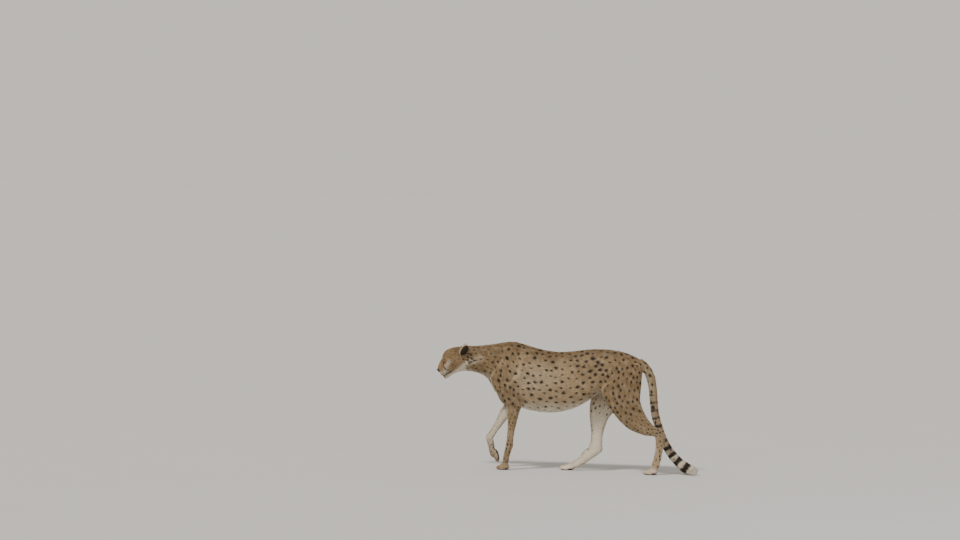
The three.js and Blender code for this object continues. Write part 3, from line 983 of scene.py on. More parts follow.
def refine(mesh: Mesh, wanted: NDArray) -> None:
    """Cuts each edge of the faces whose points are all wanted in two.

    Args:
        mesh: The mesh, changed in place.
        wanted: For each point, whether its faces are to be cut.
    """
    work = bmesh.new()
    work.from_mesh(mesh)
    marks = wanted.tolist()
    edges = {e for f in work.faces if all(marks[v.index] for v in f.verts) for e in f.edges}
    bmesh.ops.subdivide_edges(work, edges=list(edges), cuts=1, use_grid_fill=True)
    work.to_mesh(mesh)
    work.free()


@dataclass(frozen=True)
class Stroke:
    """A stroke of relief on the skin: along a line, out by height where positive and in where negative."""

    line: tuple
    width: float
    height: float


@dataclass
class SkinForm:
    """The whole animal's skin: every form in one, sunk by the coat's depth, with the head's finer forms."""

    plan: BodyPlan
    guides: Guides
    grain: float = 6.5
    fine_grain: float = 1.7
    head_strokes: tuple = (
        Stroke(((192, 7, -9), (184, 20, -13), (170, 30, -15), (152, 37, -18), (137, 41, -21)), 2.6, -2.2),
        Stroke(((196, 0, 22), (197, 0, 8), (193, 0, -6)), 2.2, -1.6),
        Stroke(((150, 30, 41), (162, 27, 30), (176, 24, 25)), 7, -2.2),
        Stroke(((70, 66, 22), (96, 60, 24), (118, 54, 26), (138, 43, 22)), 10, 2.4),
        Stroke(((60, 68, -30), (90, 62, -24), (120, 50, -24)), 14, 1.6),
        Stroke(((98, 0, 98), (122, 0, 88), (142, 0, 76)), 9, -2.0),
        Stroke(((96, 38, 80), (112, 40, 75), (128, 37, 70), (138, 31, 63)), 6.5, 2.6),
        Stroke(((182, 17, 5), (170, 26, 3)), 11, 3.2),
        Stroke(((150, 0, 72), (180, 0, 56)), 9, 1.6),
        Stroke(((190, 0, -22), (178, 0, -36)), 11, 2.2),
        Stroke(((176, 22, 26), (186, 14, 22)), 5, -1.8),
    )
    toe_grooves: tuple = (
        Stroke(((-20, 0, 34), (4, 0, 29), (20, 0, 14)), 3.4, -5.0),
        Stroke(((-28, 15, 32), (-6, 14.6, 26), (9, 14, 12)), 3.4, -4.6),
    )
    body_strokes: tuple = (
        Stroke(((14, 74, 745), (-14, 82, 690), (-42, 88, 628), (-60, 88, 580)), 17, 5.5),
        Stroke(((60, 84, 722), (62, 96, 660), (40, 104, 590), (10, 108, 540)), 20, -7.5),
        Stroke(((-16, 104, 640), (20, 112, 590), (52, 110, 540)), 26, 5.0),
        Stroke(((-90, 78, 660), (-70, 86, 600), (-40, 92, 540)), 18, -5.5),
        Stroke(((648, 66, 742), (612, 84, 706)), 22, 5.5),
        Stroke(((560, 92, 690), (572, 98, 620), (590, 104, 560)), 24, -7.5),
        Stroke(((700, 104, 650), (690, 112, 570), (700, 112, 500)), 42, 5.0),
        Stroke(((380, 96, 500), (460, 92, 540), (530, 92, 600)), 34, -6.5),
    )

    def shells(self) -> tuple[list[Shell], list[Shell]]:
        """Makes the animal's forms.

        Returns:
            All of them, and those with detail finer than the body's grain, in the animal's frame.
        """
        plan, head = self.plan, self.plan.head()
        skull = [plan.skull().shell(sides=56), *plan.face()]
        fine = [head.carry(s) for s in skull]
        fine.append(plan.spine().shell(0, 5, sides=64))
        whole = [plan.spine().shell(0, 17, sides=64), plan.tail().shell()]
        for side in Side:
            for leg in (plan.foreleg(side), plan.hindleg(side)):
                whole.append(leg.shell())
                fine.append(leg.shell(9, None))
        for at, reach, heel_x in plan.paws().values():
            fine += plan.paw_shells(at, reach, heel_x)
        return whole + fine, fine

    def detail(self, points: NDArray) -> tuple[NDArray, NDArray]:
        """Where the head and the paws are.

        Args:
            points: Places in the animal's frame.

        Returns:
            How far forward on the head and how near the paws they lie, each as a share from 0 to 1.
        """
        head = ramp(self.plan.head().read(points)[:, 0], -30, 10) * (points[:, 0] < -150)
        paw = np.zeros(len(points))
        for at, reach, _ in self.plan.paws().values():
            far = ellipsoid_distance(at.read(points), (reach / 2, 0, 22), (70, 55, 62))
            paw = np.maximum(paw, ramp(far, 1.15, 0.85))
        return head, paw

    def raw(self) -> Mesh:
        """The union at the body's grain, cut finer on head and paws, and drawn on to the fine union there.

        Returns:
            The mesh, in millimetres.
        """
        whole, fine = self.shells()
        mesh = voxel_union("skin", joined(whole), self.grain)
        log.info("coarse union: %d faces", len(mesh.polygons))
        points = points_of(mesh)
        head, paw = self.detail(points)
        refine(mesh, (head > 0.02) | (paw > 0.02))
        local = self.plan.head().read(points_of(mesh))
        refine(mesh, (local[:, 0] > 98) & (points_of(mesh)[:, 0] < -200))
        here = np.zeros(len(mesh.vertices), bool)
        for side in Side:
            eye = EyePlan(side).frame().read(self.plan.head().read(points_of(mesh)))
            here |= EyePlan.near(eye, 21, -4)
        refine(mesh, here)
        target = new_object("skin_target", voxel_union("skin_target", joined(fine), self.fine_grain))
        obj = new_object("skin_raw", mesh)
        head, paw = self.detail(points_of(mesh))
        group = obj.vertex_groups.new(name="fine")
        share = np.maximum(head, paw)
        for level in range(1, 11):
            group.add(np.flatnonzero(np.ceil(share * 10) == level).tolist(), level / 10, "REPLACE")
        wrap = obj.modifiers.new("wrap", "SHRINKWRAP")
        wrap.target, wrap.wrap_method, wrap.vertex_group = target, "NEAREST_SURFACEPOINT", group.name
        result = applied(obj)
        bpy.data.objects.remove(target)
        return result

    def settle(self, mesh: Mesh) -> None:
        """Rounds the creases where forms meet, by turns of a step towards the neighbours' mean and one back.

        Just above the paws and on top of the shoulders it goes on with steps towards the mean alone.

        Args:
            mesh: The mesh, changed in place.
        """
        edges, points = edges_of(mesh), points_of(mesh)
        head, paw = self.detail(points)
        ease = (1 - 0.72 * np.maximum(head, paw))[:, None]
        for _ in range(9):
            for step in (0.55, -0.57):
                points = points + step * ease * (neighbour_mean(points, edges) - points)
        soften = np.zeros(len(points))
        for at, reach, _ in self.plan.paws().values():
            q = at.read(points)
            near = ellipsoid_distance(q, (0, 0, 52), (58, 46, 60)) < 1
            rise = ramp(q[:, 2], 16, 34) * ramp(q[:, 2], 100, 70) * ramp(q[:, 0], reach + 8, reach - 22)
            soften = np.maximum(soften, near * rise)
        for side in Side:
            x, z = self.plan.fore_joints(side)[0]
            far = ellipsoid_distance(points, (x, side.value * self.plan.fore_y[0], z), (62, 60, 62))
            soften = np.maximum(soften, ramp(far, 1.0, 0.5))
        for _ in range(26):
            points = points + 0.6 * soften[:, None] * (neighbour_mean(points, edges) - points)
        set_points(mesh, points)

    def relief(self, points: NDArray, normals: NDArray, strokes: tuple, at: LocalFrame | None) -> NDArray:
        """Moves points along their normals by each stroke's height times e to the power -(distance / width)^2.

        Args:
            points: Skin points.
            normals: The outward direction at each.
            strokes: The strokes, mirrored to both sides.
            at: The frame that the strokes are in.

        Returns:
            The moved points.
        """
        local = one_sided(at.read(points) if at else points)
        amount = np.zeros(len(points))
        for stroke in strokes:
            far = line_distance(local, snapped(np.array(stroke.line, float), local[::3]))
            amount += stroke.height * np.exp(-((far / stroke.width) ** 2))
        return points + normals * amount[:, None]

    def build(self) -> tuple[Mesh, Reading]:
        """Makes the skin.

        Returns:
            Its mesh in millimetres, and the guides' fields at its points.
        """
        mesh = self.raw()
        self.settle(mesh)
        head_frame = self.plan.head()
        points, normals = points_of(mesh), normals_of(mesh)
        reading = self.guides.read(points)
        head, _ = self.detail(points)
        nose_near = ramp(head_frame.read(points)[:, 0], 90, 170) * (head > 0)
        depth = reading.spec["depth"] * (1 - 0.55 * nose_near)
        points = points - normals * depth[:, None]
        local = head_frame.read(points)
        face = (head > 0.5) & (local[:, 0] > 40)
        shaped = self.relief(points, normals, self.head_strokes, head_frame)
        points = np.where(face[:, None], shaped, points)
        shaped = self.relief(points, normals, self.body_strokes, None)
        points = np.where(((head < 0.2) & (points[:, 0] < 760))[:, None], shaped, points)
        local = head_frame.read(points)
        for side in Side:
            local = EyePlan(side).shape_lids(local)
        points = np.where(face[:, None], head_frame.place(local), points)
        for at, reach, _ in self.plan.paws().values():
            foot = LocalFrame(at.place(np.array([reach, 0, 0])), at.axes)
            near = ellipsoid_distance(foot.read(points), (0, 0, 18), (46, 44, 34)) < 1
            points[near] = self.relief(points[near], normals[near], self.toe_grooves, foot)
        points[:, 2] = np.maximum(points[:, 2], FLOOR_GAP)
        set_points(mesh, points)
        return mesh, self.guides.read(points)


# ------------------------------ markings
@dataclass
class Markings:
    """The coat's pattern, with some painted shade: spots, tear lines, lips, tail rings, pale underparts and a
    deeper back.

    Each dark mark is a depth in millimetres, positive inside it and negative outside. A tail ring is [distance
    of its middle from the tip, half-width], and a blotch behind the ear [x, z, radius] in the head's frame; the
    blotches are partly dark spots and partly painted shade.
    """

    plan: BodyPlan
    guides: Guides
    tear: tuple = (
        (140, 31, 49), (148, 29.5, 40), (153, 31, 27), (153, 33.5, 12), (148, 36.5, -3), (141, 40, -15),
    )
    lips: tuple = (
        (197, 0, 22), (197, 0, 2), (193, 7, -8), (184, 20, -13), (170, 30, -15), (152, 37, -18), (139, 41, -21),
    )
    rings: tuple = (
        (78, 17), (134, 16), (186, 13), (236, 11), (284, 9), (334, 8.5), (384, 8), (434, 7), (482, 7),
        (530, 6.5), (578, 6),
    )
    white_tip: float = 58
    stretch: float = 1.5
    blotches: tuple = (
        (8, -12, 8), (-4, -30, 7.5), (22, -26, 6), (36, -8, 5), (-12, -12, 7), (12, -46, 6), (-8, -50, 6),
        (26, -44, 4),
    )
    dot: float = 2.1
    spots: tuple = ()
    dots: tuple = ()

    def scatter(self, points: NDArray, normals: NDArray, reading: Reading, pale: NDArray) -> None:
        """Throws spots on the skin at random, each no nearer to another than its own gap.

        Args:
            points: Skin points.
            normals: The outward direction at each.
            reading: The guides' fields there.
            pale: How pale the coat is there.
        """
        rng = np.random.default_rng(SEED)
        order = np.argsort(points[:, 0])
        place, facing = points[order], normals[order]
        local = self.plan.head().read(place)
        on_head = self.guides.of(reading, "head")[order]
        gap = reading.spec["spot_gap"][order] * (1 + 0.16 * waves(place, 90, 11))
        size = reading.spec["spot_radius"][order] * rng.uniform(0.6, 1.2, len(place))
        front = ramp(local[:, 0], 60, 150) * on_head
        loin = ramp(ellipsoid_distance(place, (474, 0, 648), (75, np.inf, 45)), 1.3, 0.5)
        size *= 1 + 0.4 * loin * (np.abs(place[:, 1]) > 40)
        size *= (1 - 0.45 * front) * (1 - 0.35 * pale[order])
        low = (place[:, 2] < 26) | (on_head & (local[:, 0] > 128)) | (pale[order] > 0.93)
        free = (size > 1.2) & ~low
        chosen = []
        for i in rng.permutation(len(place)):
            if not free[i]:
                continue
            first, last = np.searchsorted(place[:, 0], [place[i, 0] - gap[i], place[i, 0] + gap[i]])
            near = np.linalg.norm(place[first:last] - place[i], axis=1) < gap[i]
            free[first:last] &= ~near
            chosen.append(i)
        lie = unit(reading.lie[order][chosen])
        self.spots = (place[chosen], facing[chosen], size[chosen], lie)
        log.info("spots: %d", len(chosen))

    def spotted(self, points: NDArray, normals: NDArray) -> NDArray:
        """The depth inside the nearest spot or whisker dot: its radius less the distance.

        In a spot, the distance counts less along the hair's way, so that spots are longer than wide.

        Args:
            points: Places in millimetres.
            normals: The outward direction at each.

        Returns:
            The depth, in millimetres.
        """
        order = np.argsort(points[:, 0])
        place, facing = points[order], normals[order]
        best = np.full(len(points), OUTSIDE)
        for centre, out, radius, lie in zip(*self.spots):
            first, last = np.searchsorted(place[:, 0], [centre[0] - radius - 12, centre[0] + radius + 12])
            q = place[first:last] - centre
            far = np.sqrt(np.maximum((q**2).sum(axis=1) - (1 - 1 / self.stretch) * (q @ lie) ** 2, 0))
            turned = 1 + 1.4 * np.maximum(0.35 - facing[first:last] @ out, 0)
            best[first:last] = np.maximum(best[first:last], radius - far * turned)
        result = np.empty(len(points))
        result[order] = best
        result += 1.2 * waves(points, 11, 5)
        folded = one_sided(self.plan.head().read(points))
        snout = folded[:, 0] > 140
        gaps = folded[snout][:, None] - self.dots[None]
        result[snout] = np.maximum(result[snout], self.dot - np.sqrt((gaps**2).sum(axis=-1).min(axis=1)))
        return result

    def paleness(self, points: NDArray, reading: Reading) -> NDArray:
        """How far the coat has turned to cream: belly, inner legs, feet, chin, cheeks and the tail's end.

        Args:
            points: Skin points.
            reading: The guides' fields there.

        Returns:
            A share from 0 to 1 for each.
        """
        of = self.guides.of
        local = self.plan.head().read(points)
        drift = 0.12 * waves(points, 70, 21)
        rise = reading.rise + drift
        # Painted shade: the belly's cream is held to 0.88 and the throat's to about half of that, for the shade
        # under the body.
        belly = 0.88 * ramp(rise, -0.58, -0.95) * (of(reading, "trunk") + 0.55 * of(reading, "neck"))
        side_light = ellipsoid_distance(points, (150, 0, 560), (190, np.inf, 120))
        belly = np.maximum(belly, 0.16 * ramp(side_light, 1.2, 0.3) * of(reading, "trunk"))
        side = np.sign(points[:, 1])
        inner = -reading.out * side + drift
        height = ramp(points[:, 2], 560, 300)
        leg_parts = of(reading, "shoulder", "forearm", "thigh", "shank", "forepaw", "hindfoot")
        legs = ramp(inner, 0.05, 0.6) * height * leg_parts
        feet = of(reading, "forepaw", "hindfoot")
        legs = np.where(feet, 0.2 + 0.6 * ramp(inner, -0.5, 1.0), legs)
        legs = np.maximum(legs, 0.12 * ramp(points[:, 2], 260, 60) * of(reading, "forearm", "shank"))
        legs = np.maximum(legs, 0.2 * of(reading, "forepaw") + 0.42 * of(reading, "hindfoot"))
        legs *= 1 - 0.72 * ramp(points[:, 2], 195, 120) * of(reading, "forearm", "forepaw")
        chin = 0.85 * ramp(local[:, 2] + 6 * drift, -16, -36)
        # The muzzle's cream is held low, partly as painted shade on the end of the snout.
        muzzle = 0.34 * ramp(local[:, 0], 142, 164) * ramp(local[:, 2], 32, 12)
        flat = local * [1, 0, 1]
        cheek = 0.34 * ramp(line_distance(flat, np.array([[112, 0, 34], [140, 0, 24]], float)), 22, 5)
        brow = 0.3 * ramp(ellipsoid_distance(np.abs(local), (128, 30, 74), (15, 11, 8)), 1.4, 0.4)
        behind_ear = np.array([[-262, 0, 640], [-228, 0, 648], [-192, 0, 668]], float)
        nape = 0.4 * ramp(line_distance(points * [1, 0, 1], behind_ear), 24, 8) * of(reading, "neck", "head")
        face = np.maximum.reduce([chin, muzzle, cheek * (local[:, 0] > 90), brow]) * of(reading, "head")
        under = 0.55 * ramp(reading.rise, -0.2, -0.8) * of(reading, "tail")
        tip = self.tip_distance(reading)
        end = ramp(tip, self.white_tip + 5, self.white_tip - 5) * of(reading, "brush", "tail")
        between = 0.75 * ramp(tip, 270, 170) * of(reading, "brush", "tail")
        return np.clip(np.maximum.reduce([belly, legs, face, nape, under, end, between]), 0, 1)

    def tip_distance(self, reading: Reading) -> NDArray:
        """The distance from the tail's tip along its line, in millimetres."""
        tail, brush = (next(g for g in self.guides.all if g.name == n) for n in ("tail", "brush"))
        on_brush = self.guides.of(reading, "brush")
        return brush.arc[-1] - np.where(on_brush, reading.arc, reading.arc - tail.arc[-1])

    def marks(self, points: NDArray, reading: Reading) -> NDArray:
        """The depth inside the marks that aren't spots, and where the whisker dots are.

        Args:
            points: Skin points.
            reading: The guides' fields there.

        Returns:
            The depth, in millimetres.
        """
        head = self.guides.of(reading, "head")
        local = self.plan.head().read(points)
        folded = one_sided(local)
        near = folded[head & (folded[:, 0] > 90)]
        tear = 3.4 - line_distance(folded, snapped(np.array(self.tear, float), near))
        lips = 2.0 + 1.5 * ramp(folded[:, 1], 3, 12)
        lips = lips - line_distance(folded, snapped(np.array(self.lips, float), near))
        row, place = (v.ravel() for v in np.mgrid[0:4, 0:5])
        dots = np.stack([184 - 6 * place - 1.5 * row, 22 + 2.6 * place, 14 - 6.5 * row], axis=-1)
        self.dots = near[((near[None] - dots[:, None]) ** 2).sum(axis=-1).argmin(axis=1)]
        leather = 13 * (1.1 - self.plan.nose_distance(local))
        rims = np.full(len(points), OUTSIDE)
        for side in Side:
            eye = EyePlan(side)
            q = eye.frame().read(local)
            rims = np.where(eye.near(q, 26, 0), np.maximum(rims, 2.6 + eye.gap(q[:, 0], q[:, 1])), rims)
        # Painted shade in part: black blotches on each side below and behind the ear, where shade falls between
        # jaw and neck.
        blotch = np.full(len(points), OUTSIDE)
        for x, z, radius in self.blotches:
            blotch = np.maximum(blotch, radius - np.hypot(folded[:, 0] - x, 0.8 * (folded[:, 2] - z)))
        shade_by_ear = (folded[:, 1] > 24) & self.guides.of(reading, "head", "neck")
        blotch = np.where(shade_by_ear, blotch + 1.2 * waves(points, 11, 6), OUTSIDE)
        face = np.maximum(np.where(head, np.maximum.reduce([tear, lips, rims, leather]), OUTSIDE), blotch)
        tip = self.tip_distance(reading) + 3 * waves(points, 40, 31)
        bands = np.max([half - np.abs(tip - middle) for middle, half in self.rings], axis=0)
        bands -= 7 * ramp(tip, 400, 520) * np.maximum(waves(points, 26, 33) - 0.1, 0)
        return np.maximum(face, np.where(self.guides.of(reading, "tail", "brush"), bands, OUTSIDE))

    def dorsal(self, points: NDArray, reading: Reading) -> NDArray:
        """How far the coat has deepened: most on the back and the head, less on the limbs. Part of it is painted
        shade, on the snout, round the ears' base and over the head, neck, shoulders, thighs and rump.

        Args:
            points: Skin points.
            reading: The guides' fields there.

        Returns:
            A share from 0 to 1 for each.
        """
        back = ramp(reading.rise + 0.15 * waves(points, 80, 41), 0.45, 0.95)
        back = back * self.guides.of(reading, "trunk", "neck", "tail") * 0.9
        loin = 0.55 * ramp(ellipsoid_distance(points, (470, 0, 630), (105, np.inf, 62)), 1.25, 0.5)
        of = self.guides.of
        height = ramp(points[:, 2], 60, 330)
        # Painted shade in part: head, neck, shoulders, thighs and rump are deepened past their own tone to stand
        # for the half shade on the animal's side.
        whole = 0.7 * of(reading, "neck") + 0.6 * of(reading, "shoulder", "thigh") + 0.86 * of(reading, "head")
        rump = 0.4 * ramp(points[:, 0], 380, 560) * of(reading, "trunk")
        whole += 0.5 * height * of(reading, "forearm", "shank") + rump
        whole += 0.65 * ramp(points[:, 2], 195, 120) * of(reading, "forearm", "forepaw")
        local = one_sided(self.plan.head().read(points))
        # Painted shade: the end of the snout is deepened to stand for the shade on the muzzle.
        snout = 0.9 * ramp(local[:, 0], 140, 190) * ramp(local[:, 2], -12, 8) * of(reading, "head")
        # Painted shade below and behind the ear, partly the darker fur round the ear's base.
        shade_by_ear = 0.9 * ramp(ellipsoid_distance(local, (14, 58, 2), (24, 26, 34)), 1.3, 0.5)
        return np.clip(np.maximum.reduce([back, loin, whole, snout, shade_by_ear]), 0, 1)

    @staticmethod
    def cloud(points: NDArray) -> NDArray:
        """Soft upright streaks of deeper and lighter coat, about 30 mm across and twice as tall."""
        return 0.3 * waves(points * [1, 1, 0.42], 30, 47)

    def pads(self, points: NDArray, normals: NDArray) -> NDArray:
        """Where the bare leather of the soles and toe pads is.

        Args:
            points: Skin points.
            normals: The outward direction at each.

        Returns:
            A share from 0 to 1 for each.
        """
        bare = np.zeros(len(points))
        for at, reach, _ in self.plan.paws().values():
            q = at.read(points)
            down = normals @ at.axes[2]
            near = ramp(ellipsoid_distance(q, (reach / 2, 0, 8), (62, 36, 22)), 1.1, 0.9)
            bare = np.maximum(bare, near * ramp(down, -0.35, -0.6))
        return bare


# ------------------------------ finishes
def new_material(name: str) -> Material:
    """A material whose node tree is still empty."""
    material = bpy.data.materials.new(name)
    material.use_nodes = True
    material.node_tree.nodes.clear()
    return material


def mixed(tree: NodeTree, share: NodeSocket, a: object, b: object) -> NodeSocket:
    """A colour that goes from a to b as the share goes from 0 to 1."""
    return add_node(tree, "Mix", {0: share, 6: a, 7: b}, data_type="RGBA").outputs[2]


@dataclass(frozen=True)
class Pelage:
    """Short guard hair, tawny above and cream below with black spots: soft to the eye, with almost no gloss."""

    name: str
    tawny: str = "#C5AB84"
    # This deeper tawny colours the darker back, and also serves as painted shade on the snout, round the ears'
    # base and over head, neck, shoulders, thighs and rump.
    dorsal: str = "#917651"
    cream: str = "#F9EFDB"
    black: str = "#35291F"
    leather: str = "#3B2F2B"
    hair_mm: float = 1.1
    mottle_mm: float = 26
    spot_edge_mm: float = 1.4
    roughness: float = 0.72

    def build(self) -> Material:
        """Mixes the colours by the stored fields, each tuft a little lighter or darker, with a hair-fine bump.

        Returns:
            The material.
        """
        material = new_material(self.name)
        tree = material.node_tree
        place = add_node(tree, "TexCoord").outputs["Object"]
        names = ("dark", "pale", "dorsal", "tone", "bare")
        stored = {n: add_node(tree, "Attribute", attribute_name=n).outputs["Fac"] for n in names}
        back = mixed(tree, stored["dorsal"], linear(self.tawny), linear(self.dorsal))
        mottle = add_node(tree, "TexNoise", {"Vector": place, "Scale": 1000 / self.mottle_mm, "Detail": 3.0})
        level = add_node(tree, "MapRange", {"Value": mottle.outputs["Fac"], 3: 0.86, 4: 1.14})
        tone = add_node(tree, "MapRange", {"Value": stored["tone"], 3: 0.78, 4: 1.22})
        both = add_node(tree, "Math", {0: level.outputs[0], 1: tone.outputs[0]}, operation="MULTIPLY")
        colour = mixed(tree, stored["pale"], back, linear(self.cream))
        tones = {"Scale": both.outputs[0]}
        coat = add_node(tree, "VectorMath", {0: colour, **tones}, operation="SCALE")
        edge = {"Value": stored["dark"], 1: -self.spot_edge_mm, 2: self.spot_edge_mm}
        spot = add_node(tree, "MapRange", edge, interpolation_type="SMOOTHSTEP")
        deep = add_node(tree, "VectorMath", {0: linear(self.black)[:3], **tones}, operation="SCALE")
        colour = mixed(tree, spot.outputs[0], coat.outputs[0], deep.outputs[0])
        colour = mixed(tree, stored["bare"], colour, linear(self.leather))
        hair = add_node(tree, "TexNoise", {"Vector": place, "Scale": 1000 / self.hair_mm, "Detail": 2.0})
        bump = add_node(tree, "Bump", {"Height": hair.outputs["Fac"], "Strength": 0.35, "Distance": 0.0012})
        shader = add_node(tree, "BsdfPrincipled", {
            "Base Color": colour, "Roughness": self.roughness, "Specular IOR Level": 0.25, "Sheen Weight": 0.12,
            "Sheen Roughness": 0.5, "Normal": bump.outputs["Normal"],
        })
        add_node(tree, "OutputMaterial", {"Surface": shader.outputs[0]})
        return material


@dataclass(frozen=True)
class EyeGlaze:
    """A living eye: a bright wet highlight over an amber iris, a round black pupil and a dark rim."""

    name: str = "wet_amber_eye"
    pupil_mm: float = 4.3
    iris_mm: float = 9.4
    inner: str = "#A3773A"
    outer: str = "#432812"
    dark: str = "#0D0907"

    def build(self) -> Material:
        """Colours by the stored distance from the eye's axis, with flecks of noise in the iris.

        Returns:
            The material.
        """
        material = new_material(self.name)
        tree = material.node_tree
        ring = add_node(tree, "Attribute", attribute_name="ring").outputs["Fac"]
        place = add_node(tree, "TexCoord").outputs["Object"]
        flecks = add_node(tree, "TexNoise", {"Vector": place, "Scale": 900.0, "Detail": 2.0}).outputs["Fac"]
        far = add_node(tree, "MapRange", {"Value": ring, 1: self.pupil_mm, 2: self.iris_mm})
        grade = add_node(tree, "Math", {0: far.outputs[0], 1: flecks}, operation="MULTIPLY").outputs[0]
        iris = mixed(tree, grade, linear(self.inner), linear(self.outer))
        edge = {1: self.pupil_mm, 2: self.pupil_mm + 0.4, 3: 1.0, 4: 0.0}
        hole = add_node(tree, "MapRange", {"Value": ring, **edge})
        rim = add_node(tree, "MapRange", {"Value": ring, 1: self.iris_mm - 0.9, 2: self.iris_mm + 0.2})
        shade = add_node(tree, "Math", {0: hole.outputs[0], 1: rim.outputs[0]}, operation="MAXIMUM")
        colour = mixed(tree, shade.outputs[0], iris, linear(self.dark))
        shader = add_node(tree, "BsdfPrincipled", {
            "Base Color": colour, "Roughness": 0.18, "IOR": 1.376, "Coat Weight": 1.0, "Coat Roughness": 0.03,
        })
        add_node(tree, "OutputMaterial", {"Surface": shader.outputs[0]})
        return material


@dataclass(frozen=True)
class PlainFinish:
    """Horn, hide, bristle or plaster: one colour drifting to a second in soft blotches, with a grain cut in."""

    name: str
    first: str
    second: str
    blotch_mm: float
    grain_mm: float
    depth_mm: float
    roughness: float
    cells: bool = False

    def build(self) -> Material:
        """Makes blotches and grain of noise, or the grain of packed cells where the surface is pebbled.

        Returns:
            The material.
        """
        material = new_material(self.name)
        tree = material.node_tree
        place = add_node(tree, "TexCoord").outputs["Object"]
        blotch = add_node(tree, "TexNoise", {"Vector": place, "Scale": 1000 / self.blotch_mm, "Detail": 3.0})
        colour = mixed(tree, blotch.outputs["Fac"], linear(self.first), linear(self.second))
        kind = ("TexVoronoi", "Distance") if self.cells else ("TexNoise", "Fac")
        grain = add_node(tree, kind[0], {"Vector": place, "Scale": 1000 / self.grain_mm}).outputs[kind[1]]
        bump = add_node(tree, "Bump", {"Height": grain, "Strength": 0.5, "Distance": self.depth_mm / 1000})
        shader = add_node(tree, "BsdfPrincipled", {
            "Base Color": colour, "Roughness": self.roughness, "Normal": bump.outputs["Normal"],
        })
        add_node(tree, "OutputMaterial", {"Surface": shader.outputs[0]})
        return material


# Nearly black and pebbled, with the soft shine of something damp.
NOSE_LEATHER = PlainFinish("wet_nose_leather", "#221A18", "#33282A", 9, 1.3, 0.25, 0.42, True)
# Brown going to straw, fine-grained, with a dull polish.
CLAW_HORN = PlainFinish("claw_horn", "#4A3B30", "#7A6654", 5, 0.6, 0.08, 0.38)
# Off-white and smooth enough to catch the light along its length.
WHISKER = PlainFinish("white_whisker", "#EFEAE0", "#D8D0C2", 8, 0.8, 0.02, 0.4)
# Pale grey and quite matt, so that only the soft shadow shows on it.
PLASTER = PlainFinish("matt_plaster_floor", "#C6C5C3", "#C9C8C6", 900, 40, 0.3, 0.92)


# ------------------------------ coat
@dataclass
class Roots:
    """Where the tufts grow: place, outward direction, way of lying, and the fields they take from the skin."""

    place: NDArray
    normal: NDArray
    lie: NDArray
    values: dict[str, NDArray]

    def pick(self, wanted: NDArray) -> "Roots":
        """Some of the roots."""
        values = {k: v[wanted] for k, v in self.values.items()}
        return Roots(self.place[wanted], self.normal[wanted], self.lie[wanted], values)


